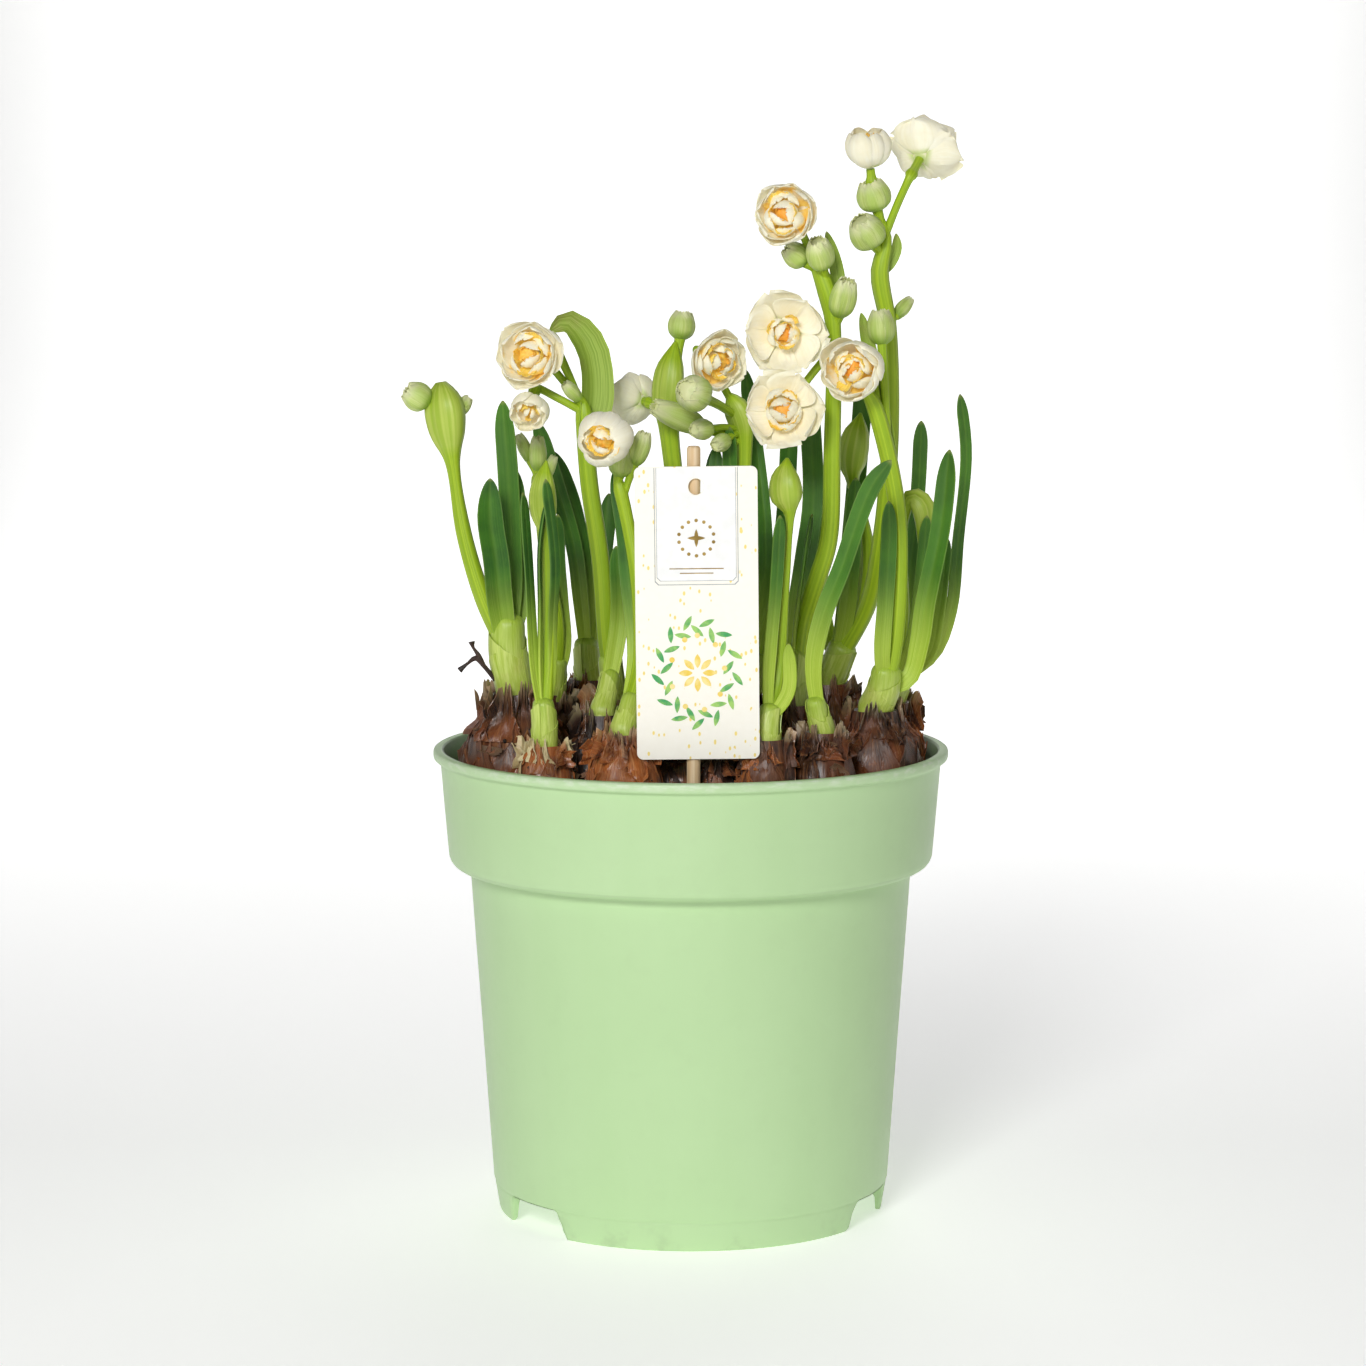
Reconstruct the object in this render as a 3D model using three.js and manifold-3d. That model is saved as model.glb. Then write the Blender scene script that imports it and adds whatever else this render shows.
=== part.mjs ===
// Potted bridal crown narcissus: a green nursery pot of soil, with papery bulbs whose leafy shoots
// carry closed buds and small double white blooms, and a blank plant label on a round wooden stick.
// Millimetres, +Z up. The origin is on the surface that the pot stands on, at the middle of the pot,
// and the label faces -Y.

import * as THREE from 'three';
import { mergeVertices } from 'three/addons/utils/BufferGeometryUtils.js';
import Module from 'manifold-3d';

const wasm = await Module();
wasm.setup();

// Driving dimensions

// The gap left between pieces that touch.
const CLEARANCE = 0.35;

const POT = {
  height: 172.5,
  lipRadius: 95,
  lipHeight: 3.6,
  bandTop: 92.4,
  bandBottom: 89.5,
  bandLow: 129.8,
  bodyTop: 81.6,
  bodyLow: 73.4,
  baseRadius: 71.5,
  creaseHeight: 10.6,
  wall: 1.3,
  floor: 13,
  sides: 32,
  notchDegrees: 26,
  footDegrees: 94,
  frontFootMiddle: 7,
  drainRadius: 4,
  drainCount: 4,
  drainRing: 46,
};

const SOIL = { top: 163, bump: 1.3, middle: 46, sides: 22 };

const STICK = { x: 1, y: -68, radius: 2.4, bottom: 96, point: 8, top: 288, sides: 8 };

const LABEL = {
  width: 43,
  height: 103,
  thickness: 0.8,
  corner: 2.2,
  hole: 2.7,
  holeDrop: 7,
  centre: [2.2, -71.2, 229.5],
  leanDegrees: -0.6,
};

// Thickness of a leaf and of a petal, and how deep a shoot stands in its bulb's neck.
const BLADE = 0.9;
const PETAL = 0.7;
const SOCKET_DEPTH = 5;

// Colours

const COLOURS = {
  pot: '#bfdda8',
  soil: '#2a1d16',
  wood: '#ebd3b0',
  card: '#fbf8f1',
  tunic: '#7a4528',
  leaf: '#568d3e',
  petal: '#f3efe3',
  crown: '#f2b92c',
};

const FINISH = {
  pot: { color: COLOURS.pot, roughness: 0.42, metalness: 0 },
  soil: { color: COLOURS.soil, roughness: 0.95, metalness: 0 },
  wood: { color: COLOURS.wood, roughness: 0.7, metalness: 0 },
  card: { color: COLOURS.card, roughness: 0.5, metalness: 0 },
  tunic: { color: COLOURS.tunic, roughness: 0.55, metalness: 0 },
  leaf: { color: COLOURS.leaf, roughness: 0.45, metalness: 0 },
  petal: { color: COLOURS.petal, roughness: 0.6, metalness: 0 },
  crown: { color: COLOURS.crown, roughness: 0.6, metalness: 0 },
};

// The bulbs: middle of the belly, belly radius, top of the neck and radius of what grows from it.
// A clump is two bulbs grown together, the second one under twin.

const BULBS = [
  { name: 'left', x: -64, y: -20, r: 19, neck: 195, stalk: 6.2 },
  { name: 'front_left', x: -52, y: -57, r: 9.5, neck: 181, stalk: 4.1 },
  { name: 'front_onion', x: -24, y: -63, r: 13, neck: 186, stalk: 4.6 },
  { name: 'dark_left', x: -32, y: -34, r: 14, neck: 189, stalk: 4.2 },
  { name: 'mid_left', x: -28, y: -3, r: 14.5, neck: 191, stalk: 4.6 },
  { name: 'left_rear', x: -52, y: 13, r: 14, neck: 188, stalk: 4.6 },
  { name: 'back_left', x: -39, y: 46, r: 17, neck: 192, stalk: 5 },
  {
    name: 'behind_label', x: -4, y: -43, r: 14, neck: 181, stalk: 0,
    twin: { x: 9, y: -56.5, r: 7, neck: 176, stalk: 0 },
  },
  {
    name: 'centre', x: -2, y: 20, r: 14, neck: 190, stalk: 5,
    twin: { name: 'rear_middle', x: 22, y: 18, r: 12.5, neck: 189, stalk: 4 },
  },
  { name: 'centre_right', x: 10, y: -16, r: 12, neck: 188, stalk: 5 },
  { name: 'front_right', x: 27, y: -62, r: 9.5, neck: 184, stalk: 4.6 },
  { name: 'front_far_right', x: 47, y: -52, r: 11.5, neck: 185, stalk: 4 },
  { name: 'tall_right', x: 38, y: -14, r: 12.5, neck: 190, stalk: 4.4 },
  { name: 'right', x: 67, y: -22, r: 16.5, neck: 189, stalk: 6 },
  { name: 'right_rear', x: 74, y: 9, r: 12, neck: 188, stalk: 5.4 },
  { name: 'back_right', x: 52, y: 34, r: 17, neck: 192, stalk: 6 },
  { name: 'back', x: 5, y: 56, r: 16, neck: 191, stalk: 5 },
];

// What grows from each bulb. Every list of points runs upwards, and starts in the sheath.
// sheath: [a point inside it, its top, its radius]
// leaves: [width, turn of the flat face in degrees from the front, points]
// stems: rings [x, y, z, radius], the last ones a spathe or a closed bud where it has one
// buds: [where its stalk leaves, middle of the bud, length, radius, stalk radius]
// flaps: papery tongues of the spathes, given as leaves are
// blooms: [name, where its stalk leaves, middle, direction it faces, radius, cupping]

const SHOOTS = {
  left: {
    sheath: [[-66.5, -20, 210], [-66.5, -20, 224], 6.6],
    leaves: [
      [9.4, 5, [[-69, -28, 230], [-70, -31, 244], [-72, -33, 259], [-72, -33, 274]]],
      [7.6, -8, [[-65, -17, 230], [-65, -16, 243], [-66, -17, 272], [-68, -18, 301]]],
      [6.4, 10, [[-62, -14, 228], [-63, -12, 254], [-64, -12, 276]]],
    ],
    stems: [
      [
        [-75, -22, 229, 3.2], [-82, -22, 253, 2.9], [-86, -22, 279, 2.8],
        [-87.5, -22, 290, 6.6], [-88.5, -22, 299, 6.9], [-90, -22, 308, 2.4],
      ],
    ],
    buds: [
      [[-89, -22, 297], [-98.4, -24, 303], 9.5, 5, 1.8],
      [[-88, -22, 292], [-82.5, -20, 299], 8, 2.6, 1.4],
    ],
  },
  front_left: {
    sheath: [[-52, -57, 188], [-52.5, -58, 198], 4.2],
    leaves: [
      [4.4, 50, [[-55, -60, 205], [-56, -60, 219], [-57, -60, 240], [-59, -60, 271]]],
      [3.4, 70, [[-53, -59, 205], [-53, -60, 230], [-53, -60, 252], [-51, -61, 267]]],
      [4.2, 40, [[-49.5, -57, 205], [-49, -57, 225], [-48, -60, 247], [-51, -63.5, 276]]],
    ],
    stems: [
      [
        [-50.5, -55, 218, 2.5], [-51, -54.5, 255, 2.6],
        [-52, -54.5, 265, 4.9], [-52, -54.5, 273, 4.3], [-51, -54.5, 282, 0.8],
      ],
    ],
  },
  front_onion: {
    sheath: [[-22.5, -60.5, 192], [-20.5, -56, 199], 4],
    leaves: [[6.4, -12, [[-19.5, -50, 214], [-22, -46, 239], [-24, -45, 260], [-27, -44, 278]]]],
    stems: [[[-18, -52, 210, 2.7], [-19, -49, 239, 2.5], [-23, -47, 262, 2.4], [-26, -47, 275, 2.6]]],
    buds: [
      [[-24, -47, 268], [-18, -50, 286], 12, 3.4, 1.4],
      [[-26, -47, 272], [-24.5, -48.5, 281], 10, 4.4, 1.6],
    ],
    blooms: [['globe', [-26, -47, 273], [-28.5, -57, 291], [-0.3, -0.93, -0.15], 10.4, 2.4]],
  },
  dark_left: {
    sheath: [[-30.5, -31, 195], [-28.5, -27, 204], 3.6],
    leaves: [[6.6, 8, [[-26, -24, 222], [-26, -25, 236], [-27, -25, 249]]]],
  },
  mid_left: {
    sheath: [[-29, -5, 198], [-30, -7, 208], 4.4],
    stems: [[[-31, -8, 213, 3.2], [-33, -12, 243, 3.3], [-37, -14, 272, 3.3], [-39, -16, 301, 3.2]]],
    flaps: [
      [9, 30, [[-38, -14.5, 284], [-34.5, -14, 305], [-37, -14, 321], [-45, -14, 329.5], [-51, -15, 326]]],
    ],
    buds: [
      [[-39, -16, 298], [-49.5, -15, 322], 7, 2.4, 1.5],
      [[-38, -16, 299], [-43, -18.5, 304.5], 8, 2.4, 1.6],
    ],
    blooms: [
      ['left_high', [-40, -16, 300], [-57.5, -27, 318], [-0.25, -0.95, 0.1], 13, 1.1],
      ['left_half_open', [-39, -16, 297], [-57.5, -24, 299.5], [-0.12, -0.84, -0.54], 7.4, 1.9],
    ],
  },
  left_rear: {
    sheath: [[-50.5, 10, 195], [-49.5, 8, 205], 4],
    leaves: [[5.4, 0, [[-47, 8, 207], [-48, 8, 226], [-49, 6, 241], [-49, 4, 258]]]],
    stems: [[[-49, 6, 215, 2.5], [-53, 3, 240, 2.5], [-55, 0, 262, 2.6], [-56, -1, 274, 3.2]]],
    buds: [
      [[-55.5, -0.5, 270], [-61, 0, 283], 10, 2.2, 1.3],
      [[-56, -1, 272], [-56, -2, 281], 12, 3, 1.3],
      [[-55, 0, 268], [-52, 0, 275], 10, 2, 1.2],
    ],
  },
  back_left: {
    sheath: [[-39.5, 45, 200], [-40, 44, 208], 4.6],
    leaves: [
      [6.2, -10, [[-41.5, 41, 222], [-44, 39, 243], [-50, 36, 265], [-58, 33, 291]]],
      [6.2, 15, [[-39, 46, 222], [-41, 45, 241], [-45, 43, 260], [-52, 39, 279]]],
      [7, 160, [[-36, 50, 215], [-33, 52, 240], [-31, 53, 262]]],
    ],
  },
  centre: {
    sheath: [[-1.5, 18, 198], [-1, 15, 206], 4.8],
    leaves: [[7.4, 20, [[-4, 17, 215], [-8, 15, 240], [-11, 14, 268]]]],
    stems: [
      [
        [-1, 12, 218, 3.6], [-3, 5, 245, 3.6], [-8, 0, 290, 3.8],
        [-8.5, 0, 300, 5.5], [-7.5, 0, 311, 5.3], [-5.5, 0, 321.5, 1.6],
      ],
    ],
    buds: [[[-5, 1, 314], [-3.4, 2, 327.5], 9.8, 4.7, 1.8]],
    blooms: [['back_turned', [-9, 1, 297], [-20, 12, 300], [-0.6, 0.78, 0.12], 10.6, 1.2]],
  },
  centre_right: {
    sheath: [[10.5, -15, 196], [11.5, -13, 206], 4.8],
    leaves: [
      [5.3, 5, [[13, 0, 226], [14.5, -2, 256], [14, -6, 291]]],
      [5.8, 25, [[22, -5, 213], [27, 2, 235], [27, 4, 256], [22, 12, 296], [20, 14, 311]]],
      [5, -10, [[8, -8, 220], [8, 0, 250], [9.5, 6, 283]]],
    ],
    stems: [
      [
        [14, -4, 226, 3], [18, 0, 256, 3], [19.5, 0, 286, 3.3],
        [18.5, 0, 293, 4.9], [16, -0.5, 299, 4.4], [13.5, -1, 303, 1.6],
      ],
    ],
    buds: [
      [[16, -1, 295], [1, -31, 304.5], 12, 6.2, 1.7],
      [[17, -1, 290], [4, -15, 290.5], 9, 3.6, 1.3],
      [[17.5, -1, 288], [11, -12, 285.5], 9, 3, 1.3],
      [[17, -1, 285], [-4.5, -12.5, 295], 22, 4.4, 1.8],
    ],
    blooms: [['middle', [15.5, -1, 299], [9, -10, 315.5], [0.5, -0.84, -0.2], 12, 1.2]],
  },
  front_right: {
    sheath: [[27.5, -61, 190], [28.5, -59.5, 196], 4.2],
    leaves: [
      [4.6, 12, [[27.5, -59.5, 205], [28.5, -59, 219], [30, -59.5, 236], [31.5, -60.5, 263]]],
      [4.8, -10, [[34.5, -62.5, 201], [34.5, -64, 218]]],
    ],
    stems: [
      [
        [31, -54, 205, 2.3], [33.5, -54, 240, 1.7], [35, -55, 263, 2],
        [34, -55.5, 269, 5.6], [33.5, -56, 276, 5.1], [34, -56, 283, 1.2],
      ],
    ],
  },
  front_far_right: {
    sheath: [[45.5, -53.5, 191], [44, -55.5, 198], 3.7],
    leaves: [
      [6.8, -20, [[43.5, -58, 210], [47, -60, 228], [53, -62, 244], [63, -66, 273], [70, -68, 283]]],
    ],
  },
  tall_right: {
    sheath: [[38.5, -13, 198], [39.5, -11.5, 210], 4],
    leaves: [
      [3.2, 75, [[38, -13, 214], [41, -18, 240], [44, -19.5, 260]]],
      [7.6, 0, [[37.5, -3, 209], [42, 3, 241], [45, 5, 263], [43, 7, 305]]],
    ],
    stems: [
      [
        [41.5, -10, 220, 3.4], [46, -16, 236, 3.4], [50, -20, 251, 3.3], [51, -22.5, 285, 3.1],
        [51, -25, 329, 2.9], [49, -25, 340, 3.6], [45, -25.5, 350, 2.6], [41, -27, 357, 1.8],
      ],
    ],
    buds: [
      [[47, -25, 346], [37.5, -27, 353.5], 9, 4.3, 1.5],
      [[49, -25, 342], [46, -32, 354], 12, 4.7, 1.5],
      [[51.5, -25, 326], [54.5, -29.5, 338.5], 14, 4.6, 1.8],
    ],
    flaps: [[5.5, 20, [[52, -24, 331], [52.5, -23.5, 345], [48.5, -24, 362]]]],
    blooms: [
      ['high', [43, -26, 354], [34, -38, 368], [-0.25, -0.94, 0.1], 12, 1.3],
      ['largest', [50, -24.5, 324], [33.5, -34, 326], [0.05, -0.99, -0.04], 15.4, 0.7],
      ['lower', [49.5, -23.5, 318], [33, -39, 299], [-0.08, -0.97, 0.12], 14.6, 0.8],
    ],
  },
  right: {
    sheath: [[70, -24, 197], [71, -25, 206], 5.6],
    leaves: [
      [6.2, 12, [[69, -32, 212], [70, -33, 230], [71, -34, 252], [71, -34, 266]]],
      [7.6, -25, [[79, -21, 200], [83, -22, 213], [85, -24, 228], [90, -27, 255], [93, -28, 284]]],
    ],
    stems: [[[73, -26, 211, 3.5], [75, -27, 235, 3.3], [74, -29, 265, 3.1], [66, -33, 299, 3.2]]],
    buds: [[[71, -31, 283], [68, -29, 328], 12, 4.6, 1.5]],
    flaps: [[5, -10, [[72, -29.5, 285], [66, -27, 312], [61, -26, 333]]]],
    blooms: [['right_half_open', [69, -32, 290], [59, -42, 314], [-0.35, -0.92, -0.1], 11.8, 1.7]],
  },
  right_rear: {
    sheath: [[76, 7, 195], [78, 5, 203], 5.2],
    leaves: [
      [5.4, 10, [[80, 11, 212], [81, 12, 232], [84, 12, 266], [85, 12, 292]]],
      [5, 25, [[90, 4, 206], [96, 5, 222], [98.6, 8, 248], [101.3, 8, 280], [99, 8, 302]]],
      [4.4, 0, [[81, -8, 213], [83, -11, 228], [86, -13, 259]]],
      [4, -15, [[88, -3, 207], [91, -4, 220], [94, -5, 250]]],
    ],
    stems: [
      [
        [78, -1, 220, 2.4], [77.5, -4, 256, 2.2], [80.5, -5, 265, 3.2],
        [84, -6, 263, 4.2], [85.5, -6.5, 256, 3.6], [84, -7, 245, 1],
      ],
    ],
  },
  back_right: {
    sheath: [[55, 32, 200], [58, 30, 208], 5.6],
    leaves: [
      [7, 0, [[58, 34, 220], [59.5, 33, 239], [62, 31, 269], [65, 30, 310]]],
      [6.6, 10, [[58, 24, 218], [59, 16, 232], [60, 12, 250], [61, 12, 271]]],
      [7, 170, [[50, 42, 216], [48, 45, 240], [47, 46, 270]]],
    ],
    stems: [
      [
        [66, 25, 222, 3.4], [70, 14, 244, 3.3], [73, 1, 285, 3.2], [72, -4, 326, 3.1],
        [68.5, -6, 347, 3.4], [70.5, -6.5, 359, 2.4], [66.5, -7, 371, 1.8],
      ],
      [
        [64, 27, 222, 2.8], [65.5, 23, 246, 2.6], [60, 20, 270, 2.6],
        [60, 20, 276, 5.4], [61.5, 20, 286, 5.1], [63, 20, 294.5, 1],
      ],
    ],
    buds: [
      [[69.5, -6, 352], [63.5, -12, 361.5], 12, 6.2, 1.8],
      [[69.5, -7, 362], [66, -9, 374.5], 11, 6, 1.7],
      [[72, -4, 328], [77.5, 0, 334], 9, 2.4, 1.4],
    ],
    flaps: [[5, 35, [[68.5, -4, 346], [74, -3.5, 354], [74.5, -4, 361]]]],
    blooms: [
      ['cup', [68, -7, 369], [64.5, -7.5, 388], [-0.12, -0.2, 0.97], 8.6, 2.3],
      ['top_turned', [70, -6, 359], [85, 2, 391], [0.34, 0.74, 0.56], 14, 0.7],
    ],
  },
  rear_middle: {
    sheath: [[24, 20, 196], [26, 23, 204], 3.8],
    leaves: [
      [6.8, 5, [[31, 29, 225], [35, 30, 252], [37, 30, 291]]],
      [6, 150, [[25, 32, 225], [22, 36, 250], [20, 38, 272]]],
    ],
  },
  back: {
    sheath: [[5, 56, 199], [5, 56, 207], 4.8],
    leaves: [
      [7.4, 175, [[6, 56, 225], [8, 53, 255], [9.5, 50, 280]]],
      [7, 190, [[1, 59, 222], [-6, 60, 245], [-12, 58, 262]]],
      [6.4, 160, [[10, 58, 222], [17, 59, 240], [23, 57, 258]]],
    ],
  },
};

// Small helpers

const vector = ([x, y, z]) => new THREE.Vector3(x, y, z);

const mix = THREE.MathUtils.lerp;

const radians = THREE.MathUtils.degToRad;

// A closed geometry as a solid that can be joined and cut.
function solid(geometry) {
  const bare = geometry.clone();
  bare.deleteAttribute('normal');
  bare.deleteAttribute('uv');
  const merged = mergeVertices(bare, 1e-4);
  const corners = merged.index.array;
  const kept = [];
  for (let i = 0; i < corners.length; i += 3) {
    const [a, b, c] = [corners[i], corners[i + 1], corners[i + 2]];
    if (a !== b && b !== c && c !== a) kept.push(a, b, c);
  }
  return new wasm.Manifold(new wasm.Mesh({
    numProp: 3,
    vertProperties: new Float32Array(merged.attributes.position.array),
    triVerts: new Uint32Array(kept),
  }));
}

// The geometry of a solid.
function geometryOf(body) {
  const mesh = body.getMesh();
  const geometry = new THREE.BufferGeometry();
  geometry.setAttribute('position', new THREE.BufferAttribute(mesh.vertProperties, 3));
  geometry.setIndex(new THREE.BufferAttribute(mesh.triVerts, 1));
  geometry.computeVertexNormals();
  return geometry;
}

function joined(bodies) {
  return bodies.reduce((whole, body) => whole.add(body));
}

function piece(name, geometry, finish) {
  const mesh = new THREE.Mesh(geometry, new THREE.MeshStandardMaterial(finish));
  mesh.name = name;
  return mesh;
}

// A body turned about the vertical axis, from a list of [radius, height].
function turned(outline, sides) {
  const points = outline.map(([radius, height]) => new THREE.Vector2(radius, height));
  return new THREE.LatheGeometry(points, sides).rotateX(Math.PI / 2);
}

// A round stem through rings [x, y, z, radius]: a closed cylinder bent along a smooth curve.
function tube(rings, sides) {
  const steps = rings.length - 1;
  const curve = new THREE.CatmullRomCurve3(rings.map(vector), false, 'centripetal');
  let normal = new THREE.Vector3(0.6, -0.8, 0);
  const frames = rings.map((ring, i) => {
    const tangent = curve.getTangent(i / steps);
    normal = normal.clone().projectOnPlane(tangent).normalize();
    return { centre: vector(ring), normal, binormal: tangent.clone().cross(normal) };
  });
  const geometry = new THREE.CylinderGeometry(1, 1, 1, sides, steps);
  const position = geometry.attributes.position;
  for (let i = 0; i < position.count; i += 1) {
    const row = Math.round((position.getY(i) + 0.5) * steps);
    const { centre, normal: across, binormal } = frames[row];
    const spot = centre.clone()
      .addScaledVector(across, position.getX(i) * rings[row][3])
      .addScaledVector(binormal, -position.getZ(i) * rings[row][3]);
    position.setXYZ(i, spot.x, spot.y, spot.z);
  }
  return geometry;
}

// A thin blade: one grid of spots, split into triangles alike on both faces, closed by a rim.
// spotAt(u, v) gives [point, normal], with u from -1 to 1 across and v from 0 to 1 up the blade.
function blade(spotAt, across, rows, thickness) {
  const steps = rows.length - 1;
  const grid = new THREE.PlaneGeometry(2, 1, across, steps);
  const count = grid.attributes.position.count;
  const places = new Float32Array(count * 2 * 3);
  for (let i = 0; i < count; i += 1) {
    const row = steps - Math.floor(i / (across + 1));
    const [point, normal] = spotAt(grid.attributes.position.getX(i), rows[row], row);
    point.clone().addScaledVector(normal, thickness / 2).toArray(places, i * 3);
    point.clone().addScaledVector(normal, -thickness / 2).toArray(places, (count + i) * 3);
  }
  const faces = Array.from(grid.index.array);
  const index = [...faces];
  for (let i = 0; i < faces.length; i += 3) {
    index.push(faces[i] + count, faces[i + 2] + count, faces[i + 1] + count);
  }
  const loop = [];
  const wide = across + 1;
  for (let row = 0; row < steps; row += 1) loop.push(row * wide);
  for (let column = 0; column < across; column += 1) loop.push(steps * wide + column);
  for (let row = steps; row > 0; row -= 1) loop.push(row * wide + across);
  for (let column = across; column > 0; column -= 1) loop.push(column);
  loop.forEach((from, i) => {
    const to = loop[(i + 1) % loop.length];
    index.push(to, from, from + count, to, from + count, to + count);
  });
  const geometry = new THREE.BufferGeometry();
  geometry.setAttribute('position', new THREE.BufferAttribute(places, 3));
  geometry.setIndex(index);
  return geometry;
}

// A strap leaf that follows a list of points, with a rounded tip. A wide one is slightly channelled.
const LONG = { rows: [0, 0.32, 0.64, 0.88, 1], widths: [0.7, 1, 1, 0.72, 0.18] };
const SHORT = { rows: [0, 0.44, 0.86, 1], widths: [0.7, 1, 0.8, 0.2] };
const CHANNEL = 0.13;
const CHANNELLED = 7;

function leaf(width, turnDegrees, points) {
  const curve = new THREE.CatmullRomCurve3(points.map(vector), false, 'centripetal');
  const turn = radians(turnDegrees);
  const face = new THREE.Vector3(Math.sin(turn), -Math.cos(turn), 0);
  const { rows, widths } = points.length > 4 ? LONG : SHORT;
  const spotAt = (u, v, row) => {
    const tangent = curve.getTangentAt(v);
    const side = new THREE.Vector3().crossVectors(tangent, face).normalize();
    const normal = new THREE.Vector3().crossVectors(side, tangent);
    const half = (width * widths[row]) / 2;
    const point = curve.getPointAt(v)
      .addScaledVector(side, u * half)
      .addScaledVector(normal, CHANNEL * width * widths[row] * (u * u - 0.5));
    return [point, normal];
  };
  return blade(spotAt, width < CHANNELLED ? 1 : 2, rows, BLADE);
}

// The pot

function pot() {
  const { height, lipRadius, lipHeight, bandLow, wall, floor, creaseHeight } = POT;
  const outline = [
    [0, floor - wall],
    [POT.baseRadius - 1.8, floor - wall],
    [POT.baseRadius - 2, 0],
    [POT.baseRadius - 0.6, 0],
    [POT.baseRadius, 0.8],
    [POT.bodyLow - 0.3, creaseHeight - 0.3],
    [POT.bodyLow - 0.6, creaseHeight],
    [POT.bodyLow, creaseHeight + 0.4],
    [POT.bodyTop, bandLow - 0.8],
    [POT.bandBottom - 1.8, bandLow],
    [POT.bandBottom, bandLow + 3],
    [POT.bandTop, height - lipHeight - 0.8],
    [lipRadius - 0.6, height - lipHeight],
    [lipRadius, height - lipHeight + 0.8],
    [lipRadius, height - 0.9],
    [lipRadius - 0.9, height],
    [POT.bandTop - wall, height],
    [POT.bandBottom - wall, bandLow + wall + 0.4],
    [POT.bodyTop - wall, bandLow + wall],
    [POT.bodyLow - wall, floor + 1.2],
    [POT.bodyLow - wall - 1.4, floor],
    [0, floor],
  ];
  let shell = solid(turned(outline, POT.sides));
  const pitch = POT.notchDegrees + POT.footDegrees;
  for (let foot = 0; foot < 3; foot += 1) {
    const middle = POT.frontFootMiddle + pitch * (foot + 0.5);
    shell = shell.subtract(notch(middle));
  }
  for (let hole = 0; hole < POT.drainCount; hole += 1) {
    const angle = radians(45 + (360 / POT.drainCount) * hole);
    const drain = new THREE.CylinderGeometry(POT.drainRadius, POT.drainRadius, 8, 8).rotateX(Math.PI / 2);
    drain.translate(POT.drainRing * Math.cos(angle), POT.drainRing * Math.sin(angle), floor);
    shell = shell.subtract(solid(drain));
  }
  return piece('pot', geometryOf(shell), FINISH.pot);
}

// The cutter for the gap between two feet: a slope-sided slot through the skirt.
function notch(middleDegrees) {
  const half = POT.baseRadius * Math.tan(radians(POT.notchDegrees / 2));
  const slot = new THREE.Shape([
    new THREE.Vector2(-half, -2),
    new THREE.Vector2(half, -2),
    new THREE.Vector2(half - 1.2, POT.creaseHeight - 2.4),
    new THREE.Vector2(half - 3.4, POT.creaseHeight),
    new THREE.Vector2(3.4 - half, POT.creaseHeight),
    new THREE.Vector2(1.2 - half, POT.creaseHeight - 2.4),
  ]);
  const cutter = new THREE.ExtrudeGeometry(slot, { depth: 24, bevelEnabled: false });
  cutter.rotateX(Math.PI / 2);
  cutter.translate(0, -POT.baseRadius + 12, 0);
  cutter.rotateZ(radians(middleDegrees));
  return solid(cutter);
}

// The soil: fills the pot to just under the rim. Its top is uneven, and it has a plain hole for each
// bulb and one for the stick.

function soil() {
  const { floor, wall, bandLow } = POT;
  const gap = CLEARANCE;
  const outer = POT.bandTop - wall - gap - 1;
  const outline = [
    [0, floor + gap],
    [POT.bodyLow - wall - 1.4 - gap, floor + gap],
    [POT.bodyLow - wall - gap, floor + 1.2 + gap],
    [POT.bodyTop - wall - gap - 0.1, bandLow + wall + gap],
    [POT.bandBottom - wall - gap - 0.1, bandLow + wall + gap + 0.8],
    [outer, SOIL.top],
    [SOIL.middle, SOIL.top],
    [0, SOIL.top],
  ];
  const plug = turned(outline, SOIL.sides);
  const position = plug.attributes.position;
  for (let i = 0; i < position.count; i += 1) {
    if (position.getZ(i) < SOIL.top - 0.01) continue;
    const [x, y] = [position.getX(i), position.getY(i)];
    const rough = Math.sin(x * 0.21 + 1.3) * Math.cos(y * 0.17) + 0.6 * Math.sin((x + y) * 0.43);
    position.setZ(i, SOIL.top + SOIL.bump * rough);
  }
  let body = solid(plug);
  BULBS.forEach((bulb) => {
    noses(bulb).forEach((nose) => {
      body = body.subtract(solid(socket(nose)));
    });
  });
  const reach = STICK.radius + CLEARANCE;
  const depth = SOIL.top + 10 - STICK.bottom;
  const bore = new THREE.CylinderGeometry(reach, reach, depth, STICK.sides).rotateX(Math.PI / 2);
  bore.translate(STICK.x, STICK.y, STICK.bottom - CLEARANCE + depth / 2);
  body = body.subtract(solid(bore));
  return piece('soil', geometryOf(body), FINISH.soil);
}

// The bulbs

const BULB_SIDES = 8;
const RIB = 0.06;
// Radius of the flat base as a share of the belly's.
const BASE_SHARE = 0.55;

function noses(bulb) {
  return bulb.twin ? [bulb, bulb.twin] : [bulb];
}

// A bulb stands with its belly just over the soil and its base plate below.
function bulbLevels({ r, neck }) {
  const belly = SOIL.top + 2 + (neck - SOIL.top) * 0.06;
  return { belly, base: belly - Math.max(11, 0.95 * r) };
}

// The hole in a neck is as wide across its flats as the round foot that stands in it.
function mouth(stalk) {
  return (stalk + CLEARANCE) / Math.cos(Math.PI / BULB_SIDES);
}

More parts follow.
